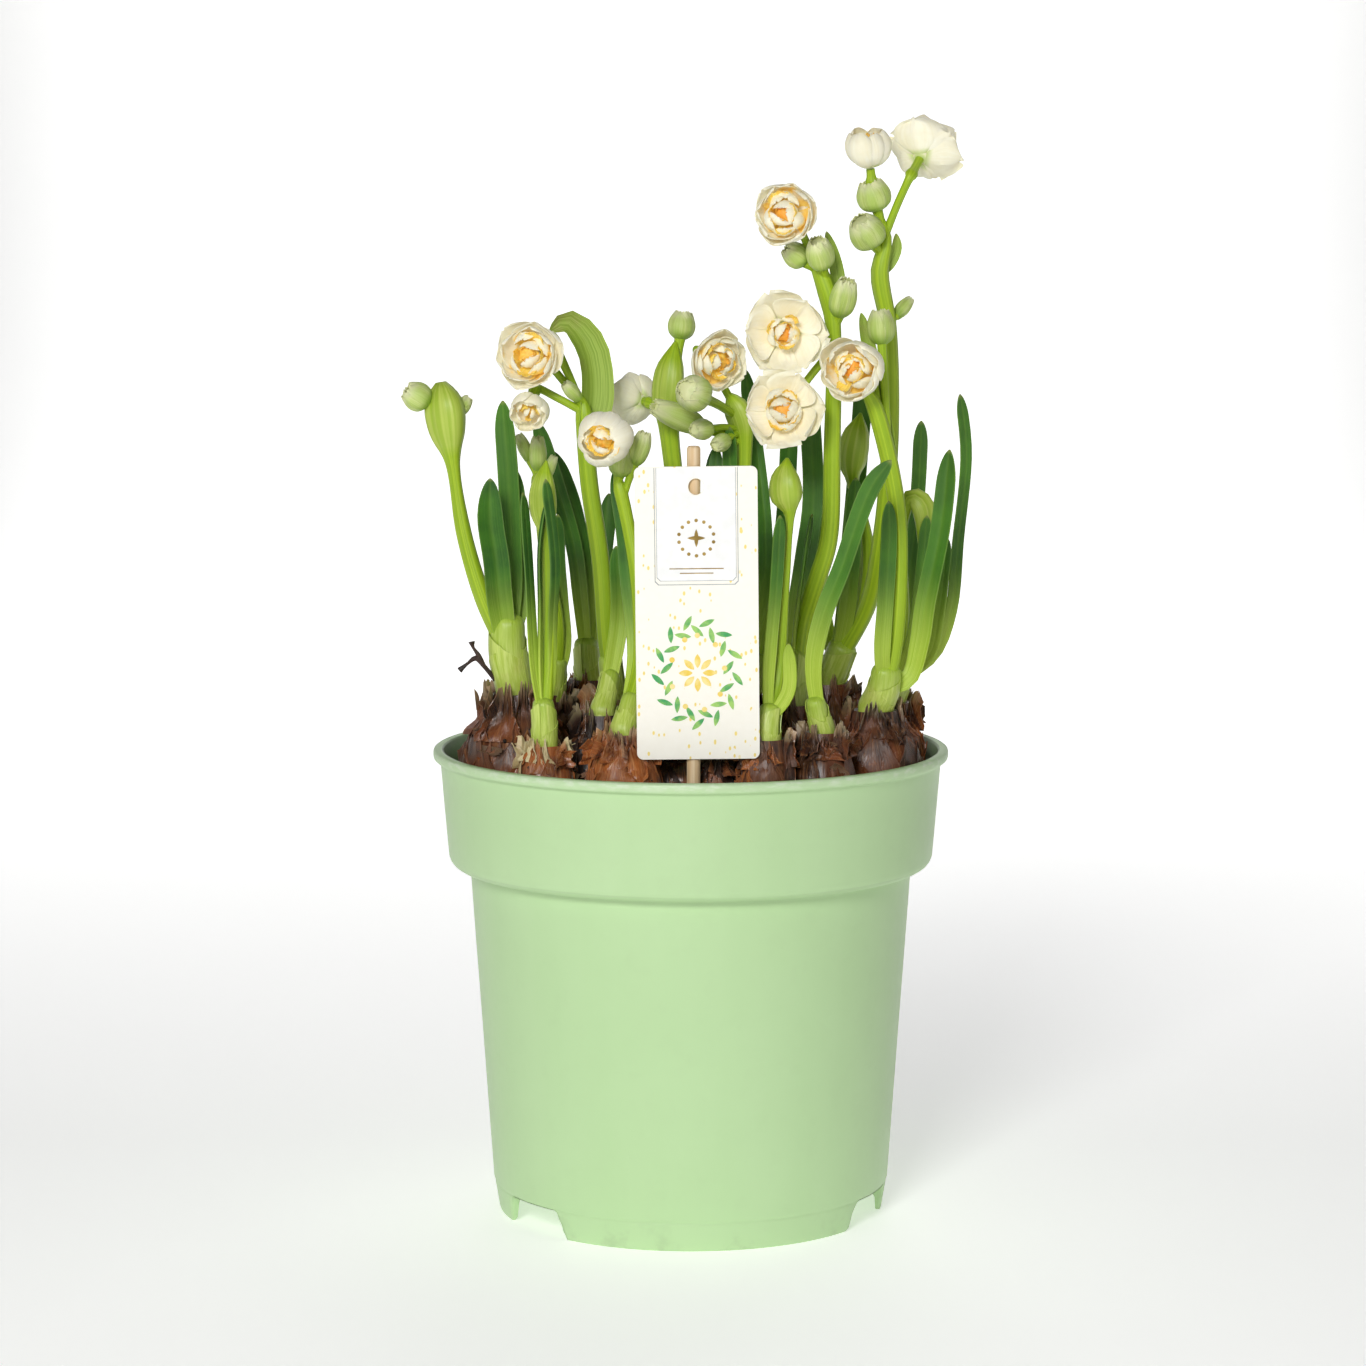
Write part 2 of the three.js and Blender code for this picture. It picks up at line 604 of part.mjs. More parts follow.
// A ribbed bulb with a torn paper collar, and a plain hole in its neck for what grows from it.
function nose(bulb) {
  const { r, neck, x, y, stalk } = bulb;
  const { belly, base } = bulbLevels(bulb);
  const rise = neck - belly;
  const hole = stalk ? mouth(stalk) : 0;
  const throat = Math.max(hole + 1.2, 0.26 * r);
  const outline = [
    [0, base],
    [BASE_SHARE * r, base],
    [r, belly],
    [mix(throat, r, 0.72), belly + 0.42 * rise],
    [throat, neck],
    ...(stalk ? [[hole, neck], [hole, neck - SOCKET_DEPTH - CLEARANCE]] : []),
    [0, stalk ? neck - SOCKET_DEPTH - CLEARANCE : neck + 1],
  ];
  const body = turned(outline, BULB_SIDES);
  const position = body.attributes.position;
  for (let i = 0; i < position.count; i += 1) {
    const [px, py, pz] = [position.getX(i), position.getY(i), position.getZ(i)];
    const side = Math.round((Math.atan2(px, -py) / (2 * Math.PI)) * BULB_SIDES);
    const turn = (side + BULB_SIDES) % BULB_SIDES;
    const reach = Math.hypot(px, py);
    const rib = turn % 2 ? 1 - RIB : 1;
    const collar = pz > neck - 0.1 && reach > hole + 0.5;
    const torn = 1.6 * Math.sin(2.4 * turn + x);
    const swell = collar ? 1 + 0.09 * (1.3 + Math.sin(1.9 * turn + y)) : reach < hole + 0.1 ? 1 : rib;
    position.setXYZ(i, px * swell, py * swell, collar ? pz + torn : pz);
  }
  body.translate(x, y, 0);
  return body;
}

// The hole in the soil that a bulb stands in: its lower half, widened by the clearance.
function socket(bulb) {
  const { r, x, y } = bulb;
  const { belly, base } = bulbLevels(bulb);
  const gap = CLEARANCE + 0.1;
  const above = 4;
  const slope = ((1 - BASE_SHARE) * r) / (belly - base);
  const outline = [
    [0, base - gap],
    [BASE_SHARE * r + gap, base - gap],
    [r + gap + slope * above, belly + above],
    [0, belly + above],
  ];
  return turned(outline, BULB_SIDES).translate(x, y, 0);
}

function bulbPiece(bulb) {
  const body = joined(noses(bulb).map((each) => solid(nose(each))));
  return piece(`bulb_${bulb.name}`, geometryOf(body), FINISH.tunic);
}

// The shoots: sheath, leaves, stalks and buds of one bulb, grown together

const STEM_SIDES = 5;

// The foot in the bulb's neck and the pale sheath above it are one tube.
function sheath({ x, y, neck, stalk }, [middle, top, radius]) {
  return tube([
    [x, y, neck - SOCKET_DEPTH, stalk],
    [x, y, neck, stalk],
    [...middle, radius],
    [...top, radius * 0.92],
  ], 6);
}

const ringAt = (point, radius) => [...point.toArray(), radius];

function bud([from, middle, length, radius, stalk]) {
  const centre = vector(middle);
  const half = centre.clone().sub(vector(from)).normalize().multiplyScalar(length / 2);
  const at = (share) => centre.clone().addScaledVector(half, share);
  return tube([
    [...from, stalk],
    ringAt(at(-1), stalk * 1.2),
    ringAt(at(-0.3), radius),
    ringAt(at(0.45), radius * 0.88),
    ringAt(at(1), radius * 0.3),
  ], STEM_SIDES);
}

// The stalk of a bloom: thin, swelling to the ovary, then the slim tube up to the petals.
function bloomStalk([, from, middle, facing, radius]) {
  const axis = vector(facing).normalize();
  const seat = vector(middle).addScaledVector(axis, -seatDrop(radius) - CLEARANCE);
  const ovary = seat.clone().addScaledVector(axis, -0.3 * seat.distanceTo(vector(from)));
  const bend = ovary.clone().lerp(vector(from), 0.5).add(new THREE.Vector3(0, 0, 1));
  return tube([[...from, 1.5], ringAt(bend, 1.5), ringAt(ovary, 2.4), ringAt(seat, 1.6)], STEM_SIDES);
}

function shoot(bulb) {
  const plan = SHOOTS[bulb.name];
  const inSheath = plan.sheath[0];
  const bodies = [solid(sheath(bulb, plan.sheath))];
  plan.leaves?.forEach(([width, turn, points]) => {
    bodies.push(solid(leaf(width, turn, [inSheath, ...points])));
  });
  plan.flaps?.forEach((each) => bodies.push(solid(leaf(...each))));
  plan.stems?.forEach((rings) => {
    bodies.push(solid(tube([[...inSheath, rings[0][3]], ...rings], STEM_SIDES)));
  });
  plan.buds?.forEach((each) => bodies.push(solid(bud(each))));
  plan.blooms?.forEach((each) => bodies.push(solid(bloomStalk(each))));
  return piece(`shoot_${bulb.name}`, geometryOf(joined(bodies)), FINISH.leaf);
}

// The blooms: two rings of white petals, then a ruffled yellow crown with white petals in its middle.
// Their sizes are for a bloom with a radius of BLOOM, and grow with it.

const BLOOM = 13;
const PETAL_LEAN = 1.5;

const LOWER = { rows: [0, 0.42, 0.82, 1], widths: [0.12, 0.92, 0.94, 0.42] };
const UPPER = { rows: [0, 0.46, 1], widths: [0.13, 1, 0.5] };
const INNER = { rows: [0, 0.5, 1], widths: [0.2, 1, 0.6] };

function seatDrop(radius) {
  return 0.42 * radius;
}

// A petal that leaves the axis at an angle and bends back over it by the cupping, in radians.
function petal({ angle, start, lift, length, lean, cupping, width, rows, widths }) {
  const out = new THREE.Vector3(Math.cos(angle), Math.sin(angle), 0);
  const tangent = new THREE.Vector3(-out.y, out.x, 0);
  const spotAt = (u, v, row) => {
    const heading = lean - cupping * v;
    const radial = start + (length / cupping) * (Math.cos(heading) - Math.cos(lean));
    const height = lift + (length / cupping) * (Math.sin(lean) - Math.sin(heading));
    const normal = new THREE.Vector3(0, 0, Math.sin(heading)).addScaledVector(out, -Math.cos(heading));
    const point = new THREE.Vector3(0, 0, height)
      .addScaledVector(out, radial)
      .addScaledVector(tangent, -u * width * widths[row]);
    return [point, normal];
  };
  return solid(blade(spotAt, 1, rows, PETAL));
}

function petals(radius, cupping) {
  const size = radius / BLOOM;
  const lean = PETAL_LEAN;
  const spread = (Math.cos(Math.max(lean - cupping, 0)) - Math.cos(lean)) / cupping;
  const start = 2 * size;
  const length = (radius - start) / spread;
  const core = [
    [0, 0],
    [2.4 * size, 0],
    [2.7 * size, 3.2 * size],
    [1.4 * size, 3.2 * size],
    [1.2 * size, 6.2 * size],
    [0, 6.2 * size],
  ];
  const bodies = [solid(turned(core, 6).rotateZ(Math.PI / 6))];
  for (let i = 0; i < 6; i += 1) {
    const upper = i % 2;
    bodies.push(petal({
      angle: (i * Math.PI) / 3,
      start,
      lift: (0.8 + upper * 1.6) * size,
      length: length * (upper ? 0.84 : 1),
      lean,
      cupping,
      width: radius * (0.56 - 0.07 * cupping) * (upper ? 0.88 : 1),
      ...(upper ? UPPER : LOWER),
    }));
  }
  for (let i = 0; i < 3; i += 1) {
    bodies.push(petal({
      angle: (i * Math.PI * 2) / 3 + 0.5,
      start: 0.7 * size,
      lift: 5.4 * size,
      length: 6.6 * size,
      lean: 0.95,
      cupping: 1.5,
      width: 3.1 * size,
      ...INNER,
    }));
  }
  return geometryOf(joined(bodies));
}

const RUFFLES = 4;

// A ruffled ring that stands round the core of the petals and opens upwards.
function crown(radius, cupping) {
  const size = radius / BLOOM;
  const low = 3.4 * size + CLEARANCE;
  const high = 6.9 * size;
  const thick = 0.8;
  const inner = 1.5 * size + 0.5;
  const outer = (5 - Math.max(0, cupping - 1.2)) * size;
  const outline = [
    [inner, low],
    [inner + thick, low],
    [outer + thick, high - 0.3],
    [outer, high],
    [inner, low],
  ];
  const cup = turned(outline, RUFFLES * 3);
  const position = cup.attributes.position;
  for (let i = 0; i < position.count; i += 1) {
    const [x, y, z] = [position.getX(i), position.getY(i), position.getZ(i)];
    const rise = (z - low) / (high - low);
    const wave = Math.sin(RUFFLES * Math.atan2(y, x));
    const swell = 1 + 0.14 * rise * wave;
    position.setXYZ(i, x * swell, y * swell, z + 0.5 * size * rise * wave);
  }
  cup.computeVertexNormals();
  return cup;
}

function bloom([name, , middle, facing, radius, cupping]) {
  const group = new THREE.Group();
  const axis = vector(facing).normalize();
  group.quaternion.setFromUnitVectors(new THREE.Vector3(0, 0, 1), axis);
  group.position.copy(vector(middle)).addScaledVector(axis, -seatDrop(radius));
  group.add(piece(`petals_${name}`, petals(radius, cupping), FINISH.petal));
  group.add(piece(`crown_${name}`, crown(radius, cupping), FINISH.crown));
  return group;
}

// The label and its stick

function stick() {
  const { radius, top, bottom, point, sides } = STICK;
  const outline = [
    [0, bottom],
    [radius * 0.3, bottom],
    [radius, bottom + point],
    [radius, top - 0.5],
    [radius - 0.5, top],
    [0, top],
  ];
  const mesh = piece('label_stick', turned(outline, sides), FINISH.wood);
  mesh.position.set(STICK.x, STICK.y, 0);
  return mesh;
}

function label() {
  const { width, height, thickness, corner, hole, holeDrop } = LABEL;
  const [w, h] = [width / 2, height / 2];
  const card = new THREE.Shape();
  card.moveTo(-w + corner, -h);
  card.lineTo(w - corner, -h);
  card.absarc(w - corner, -h + corner, corner, -Math.PI / 2, 0);
  card.absarc(w - corner, h - corner, corner, 0, Math.PI / 2);
  card.absarc(-w + corner, h - corner, corner, Math.PI / 2, Math.PI);
  card.absarc(-w + corner, -h + corner, corner, Math.PI, Math.PI * 1.5);
  const opening = new THREE.Path();
  opening.absellipse(0, h - holeDrop, hole, hole * 1.1, 0, Math.PI * 2, true);
  card.holes.push(opening);
  const sheet = new THREE.ExtrudeGeometry(card, { depth: thickness, bevelEnabled: false, curveSegments: 3 });
  sheet.translate(0, 0, -thickness / 2);
  sheet.rotateX(Math.PI / 2);
  const mesh = piece('label', sheet, FINISH.card);
  mesh.position.copy(vector(LABEL.centre));
  mesh.rotation.y = radians(LABEL.leanDegrees);
  return mesh;
}

// The whole

const group = new THREE.Group();
group.add(pot(), soil(), stick(), label());
BULBS.forEach((bulb) => group.add(bulbPiece(bulb)));
BULBS.flatMap(noses).filter((bulb) => bulb.stalk).forEach((bulb) => {
  group.add(shoot(bulb));
  SHOOTS[bulb.name].blooms?.forEach((each) => group.add(bloom(each)));
});

export default group;
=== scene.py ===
# %% [markdown]
# # A potted bridal crown narcissus
# A green nursery pot stands full of dark compost. Seventeen papery bulbs crowd on it, and their
# leafy shoots carry closed buds and small double blooms: white petals with ruffled yellow pieces
# of the crown between them. A plant label hangs on a thin wooden stick at the front. The packed
# model gives the size and place of every piece, and this notebook dresses each of them.

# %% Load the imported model
import math

import bpy
import numpy as np
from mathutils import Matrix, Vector


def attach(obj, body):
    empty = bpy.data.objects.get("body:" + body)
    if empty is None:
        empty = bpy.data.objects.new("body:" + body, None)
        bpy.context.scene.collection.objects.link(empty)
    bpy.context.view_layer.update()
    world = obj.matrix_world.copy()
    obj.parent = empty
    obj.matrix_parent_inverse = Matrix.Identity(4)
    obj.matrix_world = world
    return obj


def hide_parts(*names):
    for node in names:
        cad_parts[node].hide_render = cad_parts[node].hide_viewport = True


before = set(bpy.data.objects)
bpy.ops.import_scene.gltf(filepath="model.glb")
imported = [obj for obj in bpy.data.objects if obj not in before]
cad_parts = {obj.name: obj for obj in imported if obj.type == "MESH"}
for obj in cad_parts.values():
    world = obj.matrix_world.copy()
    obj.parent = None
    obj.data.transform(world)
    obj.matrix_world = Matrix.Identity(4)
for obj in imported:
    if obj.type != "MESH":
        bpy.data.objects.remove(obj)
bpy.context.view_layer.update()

# %% [markdown]
# ## Units, colours and nodes
# The sizes below are the millimetres of the real plant, so each is multiplied by one factor to
# reach Blender's metres. Colours were judged as screen colours, which are brighter than
# the linear light that the shaders reckon in, so one function turns every one of them. A small
# helper adds a node, sets it and links it in one line, which keeps each material readable.

# %% Units, colour and node helpers
MM = 0.001
ROOT = "root"


def linear(screen):
    """A screen colour such as BFDDA8 as the linear colour that a shader takes."""
    parts = [int(screen[i : i + 2], 16) / 255 for i in (0, 2, 4)]
    light = [c / 12.92 if c <= 0.04045 else ((c + 0.055) / 1.055) ** 2.4 for c in parts]
    return (*light, 1.0)


def add(tree, kind, sockets=None, **settings):
    """Adds a node, sets its options, and links or fills its sockets by name or number."""
    node = tree.nodes.new(kind)
    for name, value in settings.items():
        setattr(node, name, value)
    for key, value in (sockets or {}).items():
        if isinstance(value, bpy.types.NodeSocket):
            tree.links.new(value, node.inputs[key])
        else:
            node.inputs[key].default_value = value
    return node


def maths(tree, operation, first, second=0.0):
    """One step of arithmetic with two values or sockets."""
    return add(tree, "ShaderNodeMath", {0: first, 1: second}, operation=operation).outputs[0]


def times(tree, first, second):
    """The product of two values or sockets."""
    return maths(tree, "MULTIPLY", first, second)


def plus(tree, first, second):
    """The sum of two values or sockets."""
    return maths(tree, "ADD", first, second)


def minus(tree, first, second):
    """The difference of two values or sockets."""
    return maths(tree, "SUBTRACT", first, second)


def mixed(tree, share, low, high):
    """Goes from one colour, a socket or a hex code, to another by a share of 0 to 1."""
    low, high = (linear(each) if isinstance(each, str) else each for each in (low, high))
    return add(tree, "ShaderNodeMix", {0: share, 6: low, 7: high}, data_type="RGBA").outputs[2]


def stepped(tree, value, low, high):
    """Turns the range from low to high into 0 to 1, with soft ends."""
    node = add(tree, "ShaderNodeMapRange", {0: value, 1: low, 2: high}, interpolation_type="SMOOTHSTEP")
    return node.outputs[0]


def ranged(tree, value, low, high, first, last):
    """Turns the range from low to high into first to last, and holds it beyond."""
    return add(tree, "ShaderNodeMapRange", {0: value, 1: low, 2: high, 3: first, 4: last}).outputs[0]


def noise(tree, place, scale, detail=3.0, rough=0.55):
    """Cloudy noise with its grain given in lumps for each unit of the place."""
    sockets = {"Vector": place, "Scale": scale, "Detail": detail, "Roughness": rough}
    return add(tree, "ShaderNodeTexNoise", sockets).outputs[0]


def stretched(tree, place, amounts):
    """Stretches a pattern by three factors."""
    return add(tree, "ShaderNodeMapping", {"Vector": place, "Scale": amounts}).outputs[0]


def veined(tree, place, across, along, detail, rough=0.55):
    """Noise drawn out into veins, many of them across a piece and few along it."""
    return noise(tree, stretched(tree, place, (across, along, 1)), 1.0, detail, rough)


def bumped(tree, height, depth, below=None):
    """A relief whose depth is given in metres."""
    sockets = {"Height": height, "Distance": depth, "Strength": 1.0}
    if below is not None:
        sockets["Normal"] = below
    return add(tree, "ShaderNodeBump", sockets).outputs[0]


def material(name, roughness=0.5, **shader):
    """A new material: its tree, its shader and the place of each point on the object."""
    made = bpy.data.materials.new(name)
    made.use_nodes = True
    tree = made.node_tree
    tree.nodes.clear()
    surface = add(tree, "ShaderNodeBsdfPrincipled", {"Roughness": roughness})
    for socket, value in shader.items():
        surface.inputs[socket.replace("_", " ")].default_value = value
    add(tree, "ShaderNodeOutputMaterial", {"Surface": surface.outputs[0]})
    surface.inputs["Subsurface Radius"].default_value = (1.0, 0.9, 0.65)
    place = add(tree, "ShaderNodeTexCoord").outputs["Object"]
    return made, tree, surface, place


def painted(tree, surface, **links):
    """Links sockets of the shader, such as Base_Color, to what makes them."""
    for socket, source in links.items():
        tree.links.new(source, surface.inputs[socket.replace("_", " ")])


def surface_map(tree):
    """A piece's own map moved by its seed, its tone, its seed, and how far across and along it is."""
    spot = add(tree, "ShaderNodeUVMap", uv_map="Surface").outputs[0]
    tone = add(tree, "ShaderNodeAttribute", attribute_name="tone").outputs["Fac"]
    seed = add(tree, "ShaderNodeAttribute", attribute_name="seed").outputs["Fac"]
    moved = add(tree, "ShaderNodeVectorMath", {0: spot, 1: seed}, operation="ADD").outputs[0]
    parts = add(tree, "ShaderNodeSeparateXYZ", {0: spot}).outputs
    return moved, tone, seed, parts[0], parts[1]


print("helpers ready, a mid grey of 808080 is", round(linear("808080")[0], 3), "in linear light")

# %% [markdown]
# ## Grids that become pieces
# A leaf, a petal, a stem and a bulb are all rows of points that follow a path, so one gatherer
# makes them all. It keeps a map of every point (u across or round, v along), a tone that the
# materials use to change colour, and a seed that makes each organ a little different. Writing
# the arrays straight into the mesh is much faster than adding thousands of small objects.

# %% The gatherer of grids
class Piece:
    """Gathers the grids of one piece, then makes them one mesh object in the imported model."""

    def __init__(self, name):
        self.name = name
        self.points, self.tones, self.seeds = [], [], []
        self.corners, self.maps, self.finish = [], [], []
        self.materials = []
        self.total = 0

    def keep(self, points, tone, seed):
        """Takes in points, and returns the number of the first one."""
        count = len(points)
        self.points.append(points)
        self.tones.append(np.broadcast_to(tone, count))
        self.seeds.append(np.full(count, seed))
        self.total += count
        return self.total - count

    def grid(self, spots, finish, u=None, v=None, tone=0.0, seed=0.0, caps="both"):
        """Adds rows of points. Each row is a ring, and a fan of faces closes an end."""
        rows, columns = spots.shape[:2]
        u = np.linspace(0, 1, columns + 1) if u is None else np.asarray(u)
        v = np.linspace(0, 1, rows) if v is None else np.asarray(v)
        if np.ndim(tone) == 1:
            tones = np.repeat(tone, columns)
        else:
            tones = np.broadcast_to(tone, (rows, columns))
        base = self.keep(spots.reshape(-1, 3), np.reshape(tones, -1), seed)
        row, column = np.meshgrid(np.arange(rows - 1), np.arange(columns), indexing="ij")
        row, column = row.ravel(), column.ravel()
        after = (column + 1) % columns
        lower, upper = base + row * columns, base + (row + 1) * columns
        left, right = u[column], u[column + 1]
        low, high = v[row], v[row + 1]
        square = [np.stack(pair, 1) for pair in ((left, low), (right, low), (right, high), (left, high))]
        self.put_on(finish, [lower + column, lower + after, upper + after, upper + column], square)
        tones = np.ravel(tones)
        if caps in ("both", "start"):
            self.fan(spots[0], base, u, v[0], finish, tones[0], seed, True)
        if caps in ("both", "end"):
            self.fan(spots[-1], base + (rows - 1) * columns, u, v[-1], finish, tones[-1], seed, False)

    def fan(self, ring, base, u, level, finish, tone, seed, start):
        """Closes a ring with faces that meet in its middle."""
        count = len(ring)
        middle = self.keep(ring.mean(0)[None], tone, seed)
        here = base + np.arange(count)
        after = base + (np.arange(count) + 1) % count
        first, second = (after, here) if start else (here, after)
        ends = (u[1:], u[:-1]) if start else (u[:-1], u[1:])
        spots = [np.stack([side, np.full(count, level)], 1) for side in ((u[1:] + u[:-1]) / 2, *ends)]
        self.put_on(finish, [np.full(count, middle), first, second], spots)

    def strip(self, here, there, finish, level):
        """Closes the end of a flat loop with a row of faces between its front and its back."""
        count = len(here) - 1
        across = np.linspace(0, 1, count + 1)
        sides = (across[:-1], across[:-1], across[1:], across[1:])
        spots = [np.stack([side, np.full(count, level)], 1) for side in sides]
        self.put_on(finish, [here[:-1], there[:-1], there[1:], here[1:]], spots)

    def shell(self, front, thickness, finish, v=None, tone=0.0, seed=0.0):
        """Adds a thin skin: a sheet of points, given as its middle, with a front, a back and a rim."""
        rows, columns = front.shape[:2]
        along = np.gradient(front, axis=0)
        across = np.gradient(front, axis=1)
        normal = np.cross(across, along)
        normal /= np.maximum(np.linalg.norm(normal, axis=2, keepdims=True), 1e-12)
        half = np.broadcast_to(thickness, (rows, columns))[..., None] / 2
        loop = np.concatenate([front + normal * half, (front - normal * half)[:, ::-1]], 1)
        u = np.linspace(0, 1, columns)
        u = np.concatenate([u, u[::-1], u[:1]])
        tones = np.asarray(tone)[:, None] if np.ndim(tone) == 1 else tone
        tones = np.broadcast_to(tones, (rows, columns))
        base = self.total
        v = np.linspace(0, 1, rows) if v is None else v
        self.grid(loop, finish, u, v, np.concatenate([tones, tones[:, ::-1]], 1), seed, caps="none")
        start = base + np.arange(columns)
        self.strip(start, base + 2 * columns - 1 - np.arange(columns), finish, v[0])
        end = base + (rows - 1) * 2 * columns
        here = end + 2 * columns - 1 - np.arange(columns)
        self.strip(here, end + np.arange(columns), finish, v[-1])

    def put_on(self, finish, corners, spots):
        """Adds faces: the points at their corners, the corners' spots on the map, and a material."""
        self.corners.append(np.stack(corners, 1))
        self.maps.append(np.stack(spots, 1))
        if finish not in self.materials:
            self.materials.append(finish)
        self.finish.append(np.full(len(corners[0]), self.materials.index(finish), dtype=np.int32))

    def mesh(self):
        """Writes the gathered grids as one mesh, in metres."""
        mesh = bpy.data.meshes.new(self.name)
        points = np.concatenate(self.points) * MM
        mesh.vertices.add(len(points))
        mesh.vertices.foreach_set("co", points.ravel())
        sizes = np.concatenate([np.full(len(c), c.shape[1], dtype=np.int32) for c in self.corners])
        corners = np.concatenate([c.ravel() for c in self.corners]).astype(np.int32)
        mesh.loops.add(len(corners))
        mesh.loops.foreach_set("vertex_index", corners)
        mesh.polygons.add(len(sizes))
        starts = np.concatenate([[0], np.cumsum(sizes)[:-1]]).astype(np.int32)
        mesh.polygons.foreach_set("loop_start", starts)
        mesh.polygons.foreach_set("material_index", np.concatenate(self.finish))
        mesh.update(calc_edges=True)
        layer = mesh.uv_layers.new(name="Surface")
        layer.uv.foreach_set("vector", np.concatenate([m.reshape(-1) for m in self.maps]))
        for name, values in (("tone", self.tones), ("seed", self.seeds)):
            store = mesh.attributes.new(name, "FLOAT", "POINT")
            store.data.foreach_set("value", np.concatenate(values).astype(np.float32))
        for each in self.materials:
            mesh.materials.append(each)
        mesh.shade_smooth()
        mesh.set_sharp_from_angle(angle=math.radians(62))
        return mesh

    def make(self, slot, *nodes):
        """Sets the mesh in the scene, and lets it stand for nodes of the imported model."""
        return placed(self.name, self.mesh(), slot, *nodes)


def linked(name, data):
    """A new object that is in the scene."""
    thing = bpy.data.objects.new(name, data)
    bpy.context.scene.collection.objects.link(thing)
    return thing


def placed(name, mesh, slot, *nodes):
    """A mesh as an object of the scene that rides on the one body and replaces its nodes."""
    thing = linked(name, mesh)
    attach(thing, ROOT)
    if nodes:
        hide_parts(*nodes)
    return thing


def evaluated_mesh(thing):
    """The mesh of an object as its modifiers or its curve leave it."""
    sight = bpy.context.evaluated_depsgraph_get()
    return bpy.data.meshes.new_from_object(thing.evaluated_get(sight))


def triangles(thing):
    """How many triangles an object has."""
    return sum(len(face.vertices) - 2 for face in thing.data.polygons)


# %% [markdown]
# ## Paths and rings
# Nothing that grows is straight. A centripetal Catmull-Rom curve passes through every listed point
# without loops, and its length is stepped off evenly, so that a leaf doesn't bunch up. Rings are
# carried along the path without twisting it.

# %% Paths and rings
def smooth_path(points, shares):
    """Spots on a smooth curve through the points, at shares of its length. A radius may follow."""
    p = np.asarray(points, float)
    p = np.vstack([2 * p[0] - p[1], p, 2 * p[-1] - p[-2]])
    fine = []
    for a, b, c, d in zip(p, p[1:], p[2:], p[3:]):
        gaps = (np.linalg.norm(q[:3] - r[:3]) for q, r in ((b, a), (c, b), (d, c)))
        first, second, third = (max(gap, 1e-6) ** 0.5 for gap in gaps)
        start = ((b - a) / first - (c - a) / (first + second) + (c - b) / second) * second
        end = ((c - b) / second - (d - b) / (second + third) + (d - c) / third) * second
        t = np.linspace(0, 1, 16, endpoint=False)[:, None]
        square, cube = 3 * c - 3 * b - 2 * start - end, 2 * b - 2 * c + start + end
        fine.append(b + start * t + square * t**2 + cube * t**3)
    fine.append(p[-2][None])
    fine = np.vstack(fine)
    walked = np.concatenate([[0], np.cumsum(np.linalg.norm(np.diff(fine[:, :3], axis=0), axis=1))])
    return np.stack([np.interp(np.asarray(shares) * walked[-1], walked, column) for column in fine.T], 1)


def unit(v):
    """Vectors of length one."""
    return v / np.maximum(np.linalg.norm(v, axis=-1, keepdims=True), 1e-12)


def carried(path):
    """Two directions across a path at each of its spots, carried along it without a twist."""
    ahead = unit(np.gradient(path, axis=0))
    across = np.array([0.6, -0.8, 0.05])
    firsts = []
    for direction in ahead:
        across = unit(across - direction * across.dot(direction))
        firsts.append(across)
    firsts = np.array(firsts)
    return firsts, np.cross(ahead, firsts)


def ripple(places, size, seed):
    """Smooth bumps of about 1 either way and of the given size, the same on each run."""
    draw = np.random.default_rng(seed)
    total = 0
    for _ in range(6):
        wave = unit(draw.normal(size=places.shape[-1])) * draw.uniform(0.6, 1.5) * 2 * math.pi / size
        total = total + np.sin(places @ wave + draw.uniform(0, 6.28))
    return total / 3.4


def ripple_along(values, size, seed):
    """The same bumps along a line."""
    return ripple(np.column_stack([values, values * 0]), size, seed)


def full_turn(steps):
    """Angles all the way round in even steps."""
    return np.linspace(0, 2 * math.pi, steps, endpoint=False)


def rings_about(path, reach, around):
    """Rings of points round a path, each at its own reach, and the two directions of every ring."""
    first, second = carried(path[:, :3])
    aside = np.cos(around)[:, None] * first[:, None] + np.sin(around)[:, None] * second[:, None]
    return path[:, None, :3] + reach[..., None] * aside, first, second


def stem(into, rings, finish, sides=12, rows=24, ribs=0.0, rib_count=5, tone=0.0, seed=0.0):
    """A stalk through rings of x, y, z and radius, with ribs along it."""
    path = smooth_path(rings, np.linspace(0, 1, rows))
    around = full_turn(sides)
    lobes = 1 + ribs * np.cos(rib_count * around)
    reach = np.maximum(path[:, 3:4], 0.25) * lobes
    into.grid(rings_about(path, reach, around)[0], finish, tone=tone, seed=seed)


print("smooth path check, middle of a bend:", smooth_path([[0, 0, 0], [1, 0, 1], [2, 0, 0]], [0.5])[0])

# %% [markdown]
# ## Camera, floor and light
# The photograph looks at the label from a little above, from about a metre and a half away, with a
# long lens. The floor is plain white studio paper that bends up into a low wall, and the light is
# soft: a wide lamp at the front left and a weaker one behind. The paper glows a little, most behind
# the plant and least at its sides, which keeps the shade pale and the pot's edges green.

# %% Camera, floor and light
SIGHT = {"place": (0, -1.487, 0.3815), "down": 7.11, "left": 0.11, "lens": 107.05}

camera = linked("camera", bpy.data.cameras.new("camera"))
camera.data.lens = SIGHT["lens"]
camera.data.sensor_width = 36
camera.location = SIGHT["place"]
camera.rotation_euler = (math.radians(90 - SIGHT["down"]), 0, math.radians(SIGHT["left"]))
bpy.context.scene.camera = camera
bpy.context.scene.view_settings.view_transform = "Standard"

paper, tree, surface, place = material("white_studio_paper_smooth", roughness=0.65)
surface.inputs["Emission Color"].default_value = linear("FFFFFF")
parts = add(tree, "ShaderNodeSeparateXYZ", {0: place}).outputs
aside = maths(tree, "ABSOLUTE", parts[0])
away = add(tree, "ShaderNodeVectorMath", {0: place}, operation="LENGTH").outputs[1]
